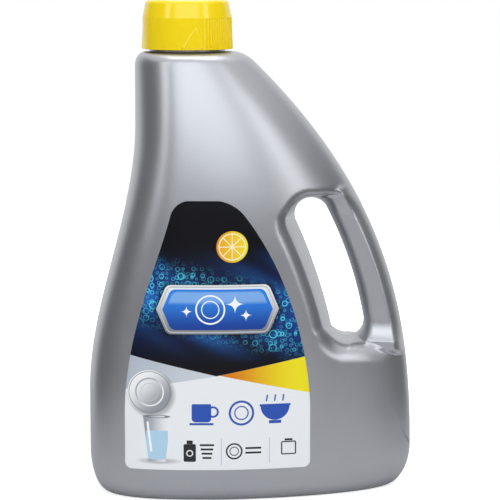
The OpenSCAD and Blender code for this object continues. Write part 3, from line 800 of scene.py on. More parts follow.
    def draw_signs(self) -> None:
        """Cup, plate and bowl signs in blue, then three small signs between thin lines."""
        p, ink = self.print, self.inks
        blue = (0.03, 0.09, 0.42)
        z = 51.0
        cup = p.either(p.both(p.bar(-27.0, z, 5.4, 5.6, 2.2), p.below(-27.0, z + 4.6, 0.0)),
                       p.disc(-20.6, z + 0.2, 3.2, line=1.1), p.bar(-27.0, z - 6.6, 6.6, 0.6, 0.3))
        p.lay(cup, blue)
        p.lay(p.either(p.disc(-5.0, z - 0.6, 7.0, line=1.2),
                       p.disc(-5.0, z - 0.6, 4.0, line=0.7)), blue)
        bowl = p.either(p.both(p.disc(13.5, z + 3.0, 8.0), p.below(13.5, z + 3.0, 0.0)),
                        p.bar(13.5, z - 6.0, 3.4, 0.9, 0.3), p.bar(13.5, z + 3.4, 8.6, 0.6, 0.4))
        p.lay(bowl, blue)
        for sx in (9.0, 13.5, 18.0):
            p.lay(p.bar(sx, z + 7.4, 0.4, 1.9, 0.35, tilt=math.radians(-8)), blue)
        z = 29.0
        p.lay(p.either(*(p.bar(x, z, 0.18, 7.4, 0.1) for x in (-16.0, 10.5))), ink.line)
        p.lay(p.either(p.bar(-33.5, z - 0.8, 3.4, 5.0, 0.9),
                       p.bar(-33.5, z + 5.2, 1.7, 1.0, 0.3)), ink.soot)
        p.lay(p.disc(-33.5, z - 1.0, 1.9, line=0.6), ink.white)
        p.lay(p.either(*(p.bar(-24.0, z + 3.6 - 2.4 * k, 4.0 - 0.5 * k, 0.55, 0.3)
                         for k in range(4))), ink.soot)
        p.lay(p.either(p.disc(-9.0, z, 4.6, line=0.9), p.disc(-9.0, z, 2.6, line=0.5),
                       p.bar(1.5, z + 1.6, 4.4, 0.55, 0.3),
                       p.bar(1.5, z - 1.0, 4.4, 0.55, 0.3)), ink.soot)
        p.lay(p.either(p.bar(21.0, z + 1.0, 4.2, 3.8, 0.8, line=0.7),
                       p.bar(21.0, z + 5.6, 2.2, 0.6, 0.3)), ink.soot)


class BackDesign(Design):
    """The back label: navy head, plain bars where directions go, and signs in boxes."""

    def draw(self) -> bpy.types.NodeSocket:
        """Draws every layer. Returns the colour."""
        t, p, ink = self.tree, self.print, self.inks
        x, _, z = t.axes(p.place)
        head = p.without(p.below(-20.0, 128.0, math.radians(-7)))
        p.lay(head, t.blend(t.ramp(z, 122.0, 168.0), ink.navy, ink.black))
        p.lay(p.both(p.without(p.below(-20.0, 125.4, math.radians(-7))), p.without(head)), ink.cyan)
        p.lay(p.disc(-26.0, 146.0, 7.4, line=1.0), ink.white)
        p.lay(p.disc(-26.0, 146.0, 4.2, line=0.6), ink.white)
        for k in range(7):
            wide = 20.0 - 3.0 * (k % 3) + 1.2 * k
            p.lay(p.bar(-22.0 - (22.0 - wide) / 2, 116.0 - 4.0 * k, wide, 0.55, 0.3), ink.grey)
        for k in range(3):
            bx = -44.0 + 25.0 * k
            p.lay(p.bar(bx, 72.0, 10.0, 10.0, 1.6, line=0.5), ink.blue)
            p.lay(p.bar(bx, 56.5, 8.0, 0.6, 0.3), ink.grey)
        for one, other in (
                (p.disc(-44.0, 72.0, 6.0, line=0.9), p.disc(-44.0, 72.0, 3.2, line=0.6)),
                (p.bar(-19.0, 71.0, 4.4, 4.6, 1.4), p.disc(-13.8, 71.6, 2.6, line=0.8)),
                (p.bar(6.0, 71.5, 3.6, 5.4, 0.6, line=0.8), p.bar(6.0, 69.6, 2.6, 2.8, 0.3))):
            p.lay(p.either(one, other), ink.blue)
        gold = t.blend(t.ramp(x, -66.0, 28.0), ink.orange, ink.yellow)
        p.lay(p.both(p.below(-18.0, 46.5, math.radians(3)),
                     p.without(p.below(-18.0, 42.5, math.radians(-3)))), gold)
        for k in range(4):
            p.lay(p.bar(-46.0, 36.0 - 3.6 * k, 15.0 - 2.0 * (k % 2), 0.5, 0.3), ink.grey)
        p.lay(p.bar(14.0, 30.5, 13.0, 7.0, 0.4), (0.86, 0.87, 0.88))
        stripes = t.math("ADD", t.math("SINE", t.math("MULTIPLY", x, 4.1)),
                         t.math("SINE", t.math("MULTIPLY", x, 6.7)))
        p.lay(p.both(p.bar(14.0, 31.0, 11.6, 5.6, 0.1), t.ramp(stripes, 0.0, 0.12)), ink.soot)
        return p.colour


@dataclass(frozen=True)
class Floor:
    """The pale floor: white to the camera, and it keeps the shadow."""

    colour: Colour = (0.70, 0.70, 0.71)
    glow: float = 0.70

    def material(self) -> bpy.types.Material:
        """Builds the floor's material. Returns it."""
        made, t, shader = new_finish("pale_floor")
        out = made.node_tree.nodes["Material Output"]
        shader.inputs["Base Color"].default_value = (*self.colour, 1.0)
        shader.inputs["Roughness"].default_value = 0.9
        shader.inputs["Specular IOR Level"].default_value = 0.0
        light = t.add("ShaderNodeEmission")
        light.inputs[0].default_value = (1.0, 1.0, 1.0, 1.0)
        rays = t.add("ShaderNodeLightPath")
        x, y, _ = t.axes(t.place())
        far = t.math("MAXIMUM", t.ramp(t.math("ABSOLUTE", x), 120.0, 260.0),
                     t.ramp(t.math("ABSOLUTE", y), 90.0, 300.0))
        glow = t.math("ADD", self.glow, t.math("MULTIPLY", far, 1.0 - self.glow))
        t.put(light.inputs[1], t.math("MULTIPLY", rays.outputs["Is Camera Ray"], glow))
        both = t.add("ShaderNodeAddShader")
        t.put(both.inputs[0], shader.outputs[0])
        t.put(both.inputs[1], light.outputs[0])
        t.put(out.inputs[0], both.outputs[0])
        return made


# The body's form


@dataclass
class BodyForm:
    """The bottle's outer form as formulas of the front view, with its sizes."""

    body_w: float = 182.0
    shoulder_z: float = 246.5
    depth_low: float = 90.0
    depth_top: float = 58.0
    lean_z: float = 135.0
    wall: float = 1.2
    push_up: float = 3.0
    foot_w: float = 6.0
    rise_w: float = 4.5
    shoulder_reach: float = 29.2
    waist_low_z: float = 57.0
    waist_high_z: float = 206.0
    slope_low_z: float = 15.5
    slope_run: float = 94.6
    slope_power: float = 2.6
    crest_left: float = 20.0
    base_fillet: float = 8.0
    corner_h: float = 24.0
    corner_left_w: float = 10.0
    corner_right_w: float = 14.5
    shoulder_round_w: float = 5.5
    shoulder_round_left_h: float = 7.5
    shoulder_round_h: float = 5.0
    hole_r: float = 9.4
    hole_swell: float = 0.4
    hole_high_z: float = 155.6
    hole_low_z: float = 95.4
    hole_bow: float = 2.0
    grip_top_w: float = 18.5
    grip_low_w: float = 20.4
    grip_depth: float = 24.0
    grip_round_w: float = 6.0
    grip_flank_w: float = 7.0
    grip_swell: float = 4.0
    grip_swell_l: float = 12.0
    side_steep: float = 5.6
    brow_steep: float = 8.0
    foot_steep: float = 18.0
    ledge_steep: float = 6.0
    side_round: float = 7.0
    brow_round: float = 6.0
    foot_round: float = 10.0
    brow_rise: float = 0.12
    ledge_fall: float = 0.05
    flank_power: float = 1.5
    blend_depth: float = 5.0
    corner_soft: float = 2.5
    neck_left: float = 35.3
    low_nose: float = 3.0
    low_taper: float = 1.55
    low_tail: float = 0.56

    def __post_init__(self) -> None:
        """Works out the arc that the finger hole follows."""
        self.neck_x = -self.neck_left
        self.left_top_x = self.neck_x - self.shoulder_reach
        ends = ((self.hole_high_z, self.grip_top_w), (self.hole_low_z, self.grip_low_w))
        a, b = (np.array([float(self.right_x(z))
                          - (w + self.hole_r) * float(self.right_lean(z)), z]) for z, w in ends)
        length = np.linalg.norm(a - b)
        self.hole_a, self.hole_b = a, b
        self.arc_r = ((length / 2) ** 2 + self.hole_bow ** 2) / (2 * self.hole_bow)
        d = (a - b) / length
        self.arc_mid = (a + b) / 2 + np.array([d[1], -d[0]]) * (self.hole_bow - self.arc_r)
        self.arc_low = math.atan2(*(b - self.arc_mid)[::-1])
        self.arc_high = math.atan2(*(a - self.arc_mid)[::-1])

    def shoulder_edge(self, z: Array | float) -> Array:
        """How far the shoulder's rounded edge has drawn in, at the handle side and the faces."""
        return rounded(z - self.shoulder_z + self.shoulder_round_h,
                       self.shoulder_round_h, self.shoulder_round_w)

    def left_x(self, z: Array | float) -> Array:
        """The left side: a smooth draw-in to the shoulder, and a rounded corner at each end."""
        return (-self.body_w / 2
                + (self.left_top_x + self.body_w / 2)
                * smooth((z - self.waist_low_z) / (self.waist_high_z - self.waist_low_z))
                + rounded(self.corner_h - z, self.corner_h, self.corner_left_w)
                + rounded(z - self.shoulder_z + self.shoulder_round_left_h,
                          self.shoulder_round_left_h, self.shoulder_round_w))

    def right_x(self, z: Array | float) -> Array:
        """The handle side: drawn in by a power of the height, and a rounded corner at each end."""
        q = part01((z - self.slope_low_z) / (self.shoulder_z - self.slope_low_z))
        return (self.body_w / 2
                - self.slope_run * q ** self.slope_power
                - rounded(self.corner_h - z, self.corner_h, self.corner_right_w)
                - self.shoulder_edge(z))

    def right_lean(self, z: Array | float) -> Array:
        """Length of the handle side for one unit of height."""
        return np.hypot(self.right_x(z + 1) - self.right_x(z - 1), 2) / 2

    def lean(self, z: Array | float) -> Array:
        """Share of the way from where the faces start to lean in up to the shoulder."""
        return part01((z - self.lean_z) / (self.shoulder_z - self.lean_z))

    def crest_depth(self, z: Array | float) -> Array:
        """Half the depth on the deepest line."""
        return (self.depth_low / 2
                - (self.depth_low - self.depth_top) / 2 * self.lean(z) ** 2
                - rounded(self.base_fillet - z, self.base_fillet, self.base_fillet)
                - self.shoulder_edge(z))

    def body_depth(self, x: Array, z: Array) -> Array:
        """Half the depth of the body: a rounded power curve to each side of the deepest line."""
        q = smooth(self.lean(z))
        crest = mix(-self.crest_left, self.neck_x, q)
        n = mix(self.low_nose, 2.0, q)
        west = part01((crest - x) / (crest - self.left_x(z)))
        nose = np.maximum(0, 1 - west ** n) ** (1 / n)
        m = mix(self.low_taper, 2.0, q)
        east = part01((x - crest) / (self.right_x(z) - crest))
        tail = np.maximum(0, 1 - east ** m) ** mix(self.low_tail, 0.5, q)
        return self.crest_depth(z) * np.where(x < crest, nose, tail)

    def arc_at(self, angle: Array) -> Array:
        """Points of the arc that the hole follows."""
        return self.arc_mid + self.arc_r * turn(angle)

    def near_angle(self, x: Array, z: Array) -> Array:
        """Angle of the nearest point of the arc, kept between its ends."""
        return np.clip(np.arctan2(z - self.arc_mid[1], x - self.arc_mid[0]),
                       self.arc_low, self.arc_high)

    def hole_reach(self, angle: Array) -> Array:
        """Half the width of the hole along the arc: a sine that swells in the middle."""
        return self.hole_r + self.hole_swell * np.sin(
            math.pi * (angle - self.arc_low) / (self.arc_high - self.arc_low))

    def from_hole(self, x: Array, z: Array) -> Array:
        """Distance from the finger hole's edge in the front view."""
        angle = self.near_angle(x, z)
        near = self.arc_at(angle)
        return np.maximum(0, np.hypot(x - near[..., 0], z - near[..., 1]) - self.hole_reach(angle))

    def ledge_z(self, x: Array) -> Array:
        """Height of the straight ledge under the handle."""
        return self.hole_b[1] - self.hole_r - self.ledge_fall * (x - self.hole_b[0])

    def brow_z(self, x: Array) -> Array:
        """Height of the straight upper end of the recess."""
        return self.hole_a[1] + self.hole_r + self.brow_rise * (x - self.hole_a[0])

    def beside_hole(self, x: Array, z: Array) -> Array:
        """Distance to the right of the hole's arc."""
        across = np.sqrt(np.maximum(1, self.arc_r ** 2 - (z - self.arc_mid[1]) ** 2))
        return x - self.arc_mid[0] - across

    def from_recess(self, x: Array, z: Array) -> Array:
        """Distance from the recess: the hole, and what lies outside it from ledge to brow."""
        outside = np.maximum(-self.beside_hole(x, z), smooth((z - self.hole_high_z) / self.hole_r)
                             * (self.hole_a[0] - x))
        region = smooth_max(smooth_max(self.ledge_z(x) - z, z - self.brow_z(x), self.corner_soft),
                            outside, self.corner_soft)
        return np.maximum(0, np.minimum(self.from_hole(x, z), region))

    def recess_wall(self, x: Array, z: Array) -> Array:
        """Half the depth of the wall round the recess.

        Args:
            x: places along the front view.
            z: heights.

        Returns:
            The distance from the recess times the wall's steepness, then a round edge that
            meets the body's own depth. The steepness and the edge's radius are blends of
            their values beside, above and below the hole and at the ledge.
        """
        under = smooth((self.hole_low_z - z) / self.hole_r)
        over = smooth((z - self.hole_high_z) / self.hole_r)
        along = smooth((x - self.hole_b[0]) / (2 * self.hole_r))
        steep = mix(mix(self.side_steep, self.brow_steep, over),
                    mix(self.foot_steep, self.ledge_steep, along), under)
        edge = mix(mix(self.side_round, self.brow_round, over), self.foot_round, under)
        e = self.from_recess(x, z)
        full = np.maximum(0.001, self.body_depth(x, z))
        draft = np.arctan(steep)
        r = np.minimum(edge, full / (1.02 - np.cos(draft)))
        end = full / steep + r * np.tan(draft / 2)
        turned = full - r + np.sqrt(np.maximum(0, r ** 2 - (end - e) ** 2))
        return np.where(e >= end, full, np.where(e <= end - r * np.sin(draft), e * steep, turned))

    def grip(self, x: Array, z: Array) -> Array:
        """Half the depth of the handle.

        Args:
            x: places along the front view.
            z: heights.

        Returns:
            A flat front that rounds off towards the hole and slopes to the outer side, each
            by a power curve of the distance, and that swells where it meets the body.
        """
        def bulge(q: Array, n: float) -> Array:
            """A power curve from 0 at the edge to 1."""
            return np.maximum(0, 1 - (1 - part01(q)) ** n) ** (1 / n)

        def swell(d: Array) -> Array:
            """How far the handle stands forward, a distance d from its end."""
            return self.grip_swell * (1 - part01(d / self.grip_swell_l)) ** 2

        side = np.maximum(0, (self.right_x(z) - x) / self.right_lean(z))
        return ((self.grip_depth / 2 + swell(z - self.ledge_z(x)) + swell(self.brow_z(x) - z))
                * bulge(self.from_hole(x, z) / self.grip_round_w, 2)
                * bulge(side / self.grip_flank_w, self.flank_power)
                * smooth(self.beside_hole(x, z) / (2 * self.hole_r) + 0.5)
                * (1 - smooth(self.from_recess(x, z) / self.grip_swell_l - 0.3)))

    def depth(self, x: Array, z: Array) -> Array:
        """Half the depth of the whole bottle: the deeper of wall and handle, with a soft seam."""
        wall, grip = self.recess_wall(x, z), self.grip(x, z)
        near = smooth(1 - self.from_recess(x, z) / self.grip_swell_l)
        soft = np.minimum(self.blend_depth * near, 2 * np.minimum(wall, grip))
        return smooth_max(wall, grip, soft)

    def hole_point(self, t: Array) -> Array:
        """Points of the hole's edge: down the handle's side, round the foot, up, round the head.

        Args:
            t: the place on the edge: 0 to 1 is the handle's side, 1 to 2 the foot, 2 to 3 the
                body's side and 3 to 4 the head.

        Returns:
            The points (x, z).
        """
        low, high, r = self.arc_low, self.arc_high, self.hole_r
        down, up = mix(high, low, part01(t)), mix(low, high, part01(t - 2))
        return np.select(
            [(t < 1)[:, None], (t < 2)[:, None], (t < 3)[:, None]],
            [self.arc_at(down) + self.hole_reach(down)[:, None] * turn(down),
             self.hole_b + r * turn(mix(low, low - math.pi, t - 1)),
             self.arc_at(up) - self.hole_reach(up)[:, None] * turn(up)],
            self.hole_a + r * turn(mix(high + math.pi, high, t - 3)))


@dataclass
class Bottle:
    """The blown bottle: its walls, base, shoulder, threaded neck and inside."""

    form: BodyForm
    mouth_r: float = 19.2
    neck_r: float = 20.9
    neck_h: float = 26.0
    pitch: float = 5.0
    ridge_h: float = 1.2
    ridge_w: float = 1.9
    neck_turns: float = 1.5
    thread_up: float = 10.0
    root_round: float = 1.4
    finer: int = 4
    rows: int = 72
    inner_rows: int = 18
    samples: int = 900
    bend_weight: float = 14.0
    seam_gap: float = 0.02

    def outline(self) -> tuple[Array, Array, int, int, int, int]:
        """The outline of the front view, clockwise from the top of the handle.

        Returns:
            The points (x, z), their places round the hole, and the first and last columns of
            the base and of the shoulder.
        """
        f, k = self.form, self.finer
        grip_high = f.hole_a[1] + 0.45 * (f.grip_top_w + f.hole_r)
        grip_low = f.hole_b[1] + 0.16 * (f.grip_low_w + f.hole_r)
        under = float(f.ledge_z(f.body_w / 2)) - f.foot_round - 4
        waist = f.waist_high_z - 6
        round_left = f.shoulder_z - f.shoulder_round_left_h
        round_right = f.shoulder_z - f.shoulder_round_h
        right, left = f.right_x, f.left_x
        legs = [
            (right, grip_high, grip_low, 16, "even", 0, 1),
            (right, grip_low, under, 12, "even", 1, 1.25),
            (right, under, f.corner_h, 4, "even", 1.25, 1.4),
            (right, f.corner_h, 0, 6, "late", 1.4, 1.49),
            (None, float(right(0.0)), float(left(0.0)), 16, 0.0, 1.49, 1.86),
            (left, 0, f.corner_h, 6, "early", 1.86, 1.95),
            (left, f.corner_h, waist, 14, "even", 1.95, 3),
            (left, waist, round_left, 4, "even", 3, 3.15),
            (left, round_left, f.shoulder_z, 4, "late", 3.15, 3.2),
            (None, float(left(f.shoulder_z)), float(right(f.shoulder_z)), 16,
             f.shoulder_z, 3.2, 3.51),
            (right, f.shoulder_z, round_right, 4, "early", 3.51, 3.58),
            (right, round_right, grip_high, 10, "even", 3.58, 4)]
        points, places, counts = [], [], []
        for side, a, b, n, kind, t0, t1 in legs:
            n *= k
            if side is None:
                x = ease(a, b, n, "both")
                points.append(np.stack([x, np.full(n, kind)], -1))
            else:
                z = ease(a, b, n, kind)
                points.append(np.stack([side(z), z], -1))
            places.append(mix(t0, t1, np.arange(n) / n))
            counts.append(n)
        ends = np.cumsum([0, *counts])
        return (np.concatenate(points), np.concatenate(places),
                int(ends[4]), int(ends[5]), int(ends[9]), int(ends[10]))

    def front(self, rows: int) -> tuple[Array, tuple[int, int, int, int]]:
        """The front half of the outer skin.

        Each column runs straight from the hole's edge to the outline in the front view. Its
        rows are evenly spaced along the curved surface, and closer together where it turns.

        Args:
            rows: number of rows of points.

        Returns:
            The points, rows by columns by 3, and the flat stretches of the outline.
        """
        o, t, *flats = self.outline()
        h = self.form.hole_point(t)
        u = np.linspace(0, 1, self.samples)
        s = u ** 3 / (u ** 3 + (1 - u) ** 3)
        seam = self.seam(len(o), flats)

        def columns(share: Array) -> Array:
            """Points on the surface, at these shares of the way from the hole to the outline."""
            p = h[:, None] + share[..., None] * (o - h)[:, None]
            y = self.form.depth(p[..., 0], p[..., 1])
            y[:, 0] = 0
            y[seam, -1] = 0
            return np.stack([p[..., 0], -y, p[..., 1]], -1)

        step = np.diff(columns(s[None, :]), axis=1)
        length = np.linalg.norm(step, axis=-1)
        way = step / np.maximum(length, 1e-9)[..., None]
        bend = np.arccos(np.clip((way[:, 1:] * way[:, :-1]).sum(-1), -1, 1))
        bend = np.where(length[:, 1:] > 1e-4, bend, 0)
        weight = length + self.bend_weight * np.pad(bend, ((0, 0), (1, 0)))
        total = np.cumsum(np.pad(weight, ((0, 0), (1, 0))), 1)
        total /= total[:, -1:]
        offset = 2.0 * np.arange(len(o))[:, None]
        want = np.linspace(0, 1, rows)[None, :] + offset
        at = np.interp(want.ravel(), (total + offset).ravel(), np.tile(s, len(o)))
        at = at.reshape(want.shape)
        at[:, 0], at[:, -1] = 0, 1
        return columns(at).transpose(1, 0, 2), tuple(flats)

    @staticmethod
    def seam(count: int, flats: tuple[int, int, int, int] | list[int]) -> Array:
        """Which columns end on the seam of front and back, and not on the base or shoulder."""
        made = np.ones(count, bool)
        made[flats[0]:flats[1] + 1] = False
        made[flats[2]:flats[3] + 1] = False
        return made

    def inner(self, outer: Array, flats: tuple[int, int, int, int]) -> Array:
        """The inner skin: the outer points moved in by the wall along their normals."""
        along = np.roll(outer, -1, 1) - np.roll(outer, 1, 1)
        across = np.gradient(outer, axis=0)
        n = np.cross(along, across)
        n /= np.maximum(np.linalg.norm(n, axis=-1, keepdims=True), 1e-9)
        n = n * np.sign((n[len(n) // 2] * [0, -1, 0]).sum(-1).mean())
        n[0, :, 1] = 0
        n[-1, self.seam(outer.shape[1], flats), 1] = 0
        n[-1, flats[0]:flats[1] + 1] = [0, 0, -1]
        n[-1, flats[2]:flats[3] + 1] = [0, 0, 1]
        n /= np.maximum(np.linalg.norm(n, axis=-1, keepdims=True), 1e-9)
        made = outer - self.form.wall * n
        made[..., 1] = np.minimum(made[..., 1], 0)
        made[1:-1, :, 1] = np.minimum(made[1:-1, :, 1], -self.seam_gap)
        return made

    @staticmethod
    def loop(grid: Array, first: int, last: int) -> Array:
        """The closed loop at the end of some columns: along the front and back along the rear."""
        front = grid[-1, first:last + 1]
        rear = front[-2:0:-1] * [1, -1, 1]
        return np.concatenate([front, rear])

    def base_rings(self, loop: Array, lift: float) -> Array:
        """Rings from the base's edge to its middle: a flat foot, a smooth rise, a shallow dome."""
        f = self.form
        reach = f.depth_low / 2 - f.base_fillet
        foot, rise = 1 - f.foot_w / reach, 1 - (f.foot_w + f.rise_w) / reach
        share = np.concatenate([np.linspace(1, foot, 4), np.linspace(foot, rise, 8)[1:],
                                np.linspace(rise, 0, 7)[1:]])
        up = f.push_up * smooth((foot - share) / (foot - rise))
        middle = np.array([-f.crest_left, 0.0])
        flat = middle + share[:, None, None] * (loop[None, :, :2] - middle)
        z = np.repeat((lift + up)[:, None], loop.shape[0], 1)
        return np.concatenate([flat, z[..., None]], -1)

    def neck_rings(self, loop: Array, profile: Array) -> Array:
        """Rings from the shoulder's edge to the neck and up it, one column to an edge point."""
        x = self.form.neck_x
        d = loop[:, :2] - [x, 0]
        far = np.linalg.norm(d, axis=1)
        d = d / far[:, None]
        q = np.linspace(0, 1, 8)[:-1, None]
        up = np.broadcast_to(mix(loop[None, :, 2], profile[0, 1], q), (len(q), len(loop)))
        shoulder = np.stack([mix(far[None], profile[0, 0], q), up], -1)
        neck = np.repeat(profile[:, None], len(loop), 1)
        rings = np.concatenate([shoulder, neck])
        r = rings[..., 0]
        return np.stack([x + r * d[None, :, 0], r * d[None, :, 1], rings[..., 1]], -1)

    def build(self, material: bpy.types.Material) -> bpy.types.Object:
        """Builds the whole bottle as one closed skin, with its thread.

        Args:
            material: its finish.

        Returns:
            The object.
        """
        f = self.form
        skin = Skin()
        outer, flats = self.front(self.rows)
        thin, _ = self.front(self.inner_rows * 3 + 1)
        inner = self.inner(thin, flats)[::3]
        mirror = np.array([1, -1, 1])
        skin.grid(outer, closed=True)
        skin.grid(outer * mirror, closed=True, flip=True)
        skin.grid(inner, closed=True, flip=True)
        skin.grid(inner * mirror, closed=True)
        foot, floor = (self.loop(grid, *flats[:2]) for grid in (outer, inner))
        skin.grid(self.base_rings(foot, 0.0), closed=True)
        skin.grid(self.base_rings(floor, f.wall), closed=True, flip=True)
        lip = f.shoulder_z + self.neck_h
        profile = softened([
            (self.neck_r + self.root_round, f.shoulder_z, 0),
            (self.neck_r, f.shoulder_z, self.root_round),
            (self.neck_r, lip, 0.6), (self.mouth_r, lip, 0.6),
            (self.mouth_r, f.shoulder_z - f.wall / 2, 0.8),
            (self.neck_r + 0.6, f.shoulder_z - f.wall, 0)], 7)
        top, under = (self.loop(grid, *flats[2:]) for grid in (outer, inner))
        skin.grid(self.neck_rings(top, profile), closed=True)
        skin.grid(self.neck_rings(under, profile[-1:]), closed=True, flip=True)
        skin.grid(helix(f.neck_x, f.shoulder_z + self.thread_up, self.neck_r - 0.4,
                        self.neck_r + self.ridge_h, self.ridge_w, self.pitch, self.neck_turns, 0.0),
                  closed=True, flip=True)
        made = skin.piece("bottle_shell", material)
        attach(made, "container")
        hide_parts("bottle")
        return made


@dataclass
class Cap:
    """The screw cap: a sloping band over a skirt with ribs, smooth pads and raised arrows."""

    form: BodyForm
    cap_r: float = 25.5
    cap_top_r: float = 23.2
    cap_break_r: float = 24.9
    cap_band_h: float = 9.5
    cap_top_t: float = 1.6
    liner_t: float = 1.0
    cap_gap: float = 1.6
    rib_count: int = 90
    rib_h: float = 0.35
    pad_angle: float = 116.0
    pad_turn: float = 237.0
    arrow_w: float = 12.0
    arrow_h: float = 12.5
    arrow_turn: float = 42.0
    bore_r: float = 22.4
    lip_z: float = 272.5
    thread_up: float = 10.0
    thread_play: float = 0.25
    thread_root: float = 0.4
    thread_reach: float = 1.2
    thread_w: float = 1.9
    thread_start: float = 90.0
    thread_turns: float = 1.0
    pitch: float = 5.0
    pad_fade: float = 1.6
    arrow_up: float = 0.8
    arrow_edge: float = 0.35
    arrow_out: float = 0.12
    edge_h: float = 0.5
    edge_in: float = 0.45
    columns: int = 1080

    def __post_init__(self) -> None:
        """Works out the heights of the cap's edges."""
        self.low_z = self.form.shoulder_z + self.cap_gap
        self.high_z = self.lip_z + self.liner_t + self.cap_top_t
        self.band_z = self.high_z - self.cap_band_h

    def skirt_radius(self, a: Array, z: Array) -> Array:
        """The skirt's radius at an angle and a height.

        Ribs are a raised cosine of the angle between the two smooth pads, and grow towards
        the lower edge. Each pad carries a flat triangular facet.

        Args:
            a: angles in degrees.
            z: heights.

        Returns:
            The radius at each point.
        """
        root = self.cap_break_r - self.rib_h
        q = (z - self.low_z) / (self.band_z - self.low_z)
        crest = mix(self.cap_r, self.cap_break_r, q)
        made = root + (crest - root) * (0.5 + 0.5 * np.cos(np.radians(a) * self.rib_count)) ** 0.8
        for side in (0.0, 180.0):
            off = (a - self.pad_turn - side + 180.0) % 360.0 - 180.0
            on_pad = smooth((self.pad_angle / 2 - np.abs(off)) / self.pad_fade + 0.5)
            made = mix(made, self.cap_break_r, on_pad)
            b = np.radians(off - self.arrow_turn)
            across = self.cap_break_r * np.sin(b)
            up = z - self.low_z - self.arrow_up
            lean = part01(up / (self.arrow_h - self.arrow_up))
            centre = mix(0.0, self.arrow_w / 8, lean)
            half = mix(self.arrow_w / 2, 0.0, lean)
            inside = np.minimum(np.minimum(half - np.abs(across - centre), up * 2),
                                self.arrow_h - self.arrow_up - up)
            facet = (self.cap_break_r + self.arrow_out) / np.maximum(np.cos(b), 0.5)
            on_arrow = smooth(inside / self.arrow_edge + 0.5) * (np.abs(b) < 0.6)
            made = mix(made, np.minimum(facet, self.cap_r + 0.3), on_arrow)
        return made

    def build(self, material: bpy.types.Material) -> bpy.types.Object:
        """Builds the cap, inside and out.

        Args:
            material: its finish.

        Returns:
            The object.
        """
        a = np.arange(self.columns) * 360.0 / self.columns
        d = turn(np.radians(a))
        z = np.concatenate([self.low_z + self.edge_h * np.array([0.0, 0.13, 0.5]),
                            np.linspace(self.low_z + self.edge_h, self.band_z - 0.25, 34)])
        tuck = np.zeros(len(z))
        tuck[:3] = self.edge_in * (1 - np.sqrt(1 - (1 - np.array([0.0, 0.5, 0.87])) ** 2))
        r = self.skirt_radius(a[None, :], z[:, None]) - tuck[:, None]
        skirt = np.stack([r * d[:, 0], r * d[:, 1], np.repeat(z[:, None], self.columns, 1)], -1)
        top_r, top_z = self.cap_top_r, self.high_z
        over = softened([
            (self.cap_break_r + 0.02, self.band_z, 0),
            (self.cap_break_r - 0.08, self.band_z + 0.35, 0.2),
            (top_r + 0.02, top_z - 1.3, 0.6), (top_r - 1.0, top_z - 0.05, 0.9),
            (20.6, top_z, 0.3), (20.2, top_z - 0.35, 0.25), (17.0, top_z - 0.35, 0.3),
            (1.6, top_z - 0.2, 0.3), (1.2, top_z - 0.45, 0.2), (0.0, top_z - 0.45, 0)], 4)
        rows = np.concatenate([self.inside(), skirt, lathe(over, self.columns, 0.0)])
        thread_z = (self.form.shoulder_z + self.thread_up + self.pitch / 4
                    - self.thread_w - self.thread_play)
        skin = Skin()
        skin.grid(rows + [self.form.neck_x, 0, 0], closed=True)
        skin.grid(helix(self.form.neck_x, thread_z, self.bore_r + self.thread_root,
                        self.bore_r - self.thread_reach, self.thread_w, self.pitch,
                        self.thread_turns, self.thread_start), closed=True)
        made = skin.piece("screw_cap", material)
        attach(made, "closure")
        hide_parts("cap")
        return made

    def inside(self) -> Array:
        """The inside of the cap, from the middle of its ceiling down to its lower edge."""
        ceiling = self.high_z - self.cap_top_t
        profile = softened([
            (0.0, ceiling, 0), (self.bore_r, ceiling, 0.5), (self.bore_r, self.low_z, 0.3),
            (self.cap_break_r - 0.9, self.low_z, 0)], 4)
        return lathe(profile, self.columns, 0.0)


@dataclass
class Liner:
    """The foamed liner in the cap: a thin disc with a pressed ring where the lip seals."""

    form: BodyForm
    radius: float = 22.1
    lip_r: float = 20.05
    low_z: float = 272.5
    thickness: float = 1.0
    ring_w: float = 1.0
    ring_edge: float = 0.3
    ring_depth: float = 0.12

    def build(self, material: bpy.types.Material) -> bpy.types.Object:
        """Builds the liner.

        Args:
            material: its finish.

        Returns:
            The object.
        """
        low, high = self.low_z, self.low_z + self.thickness
        pressed, out = low + self.ring_depth, self.ring_w + self.ring_edge
        profile = softened([
            (0.0, low, 0), (self.lip_r - out, low, 0.2),
            (self.lip_r - self.ring_w, pressed, 0.2), (self.lip_r + self.ring_w, pressed, 0.2),
            (self.lip_r + out, low, 0.2),
            (self.radius, low, 0.3), (self.radius, high, 0.3), (0.0, high, 0)], 4)
        skin = Skin()
        skin.grid(lathe(profile, 144, self.form.neck_x), closed=True)
        made = skin.piece("sealing_disc", material)
        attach(made, "seal")
        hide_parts("cap_liner")
        return made


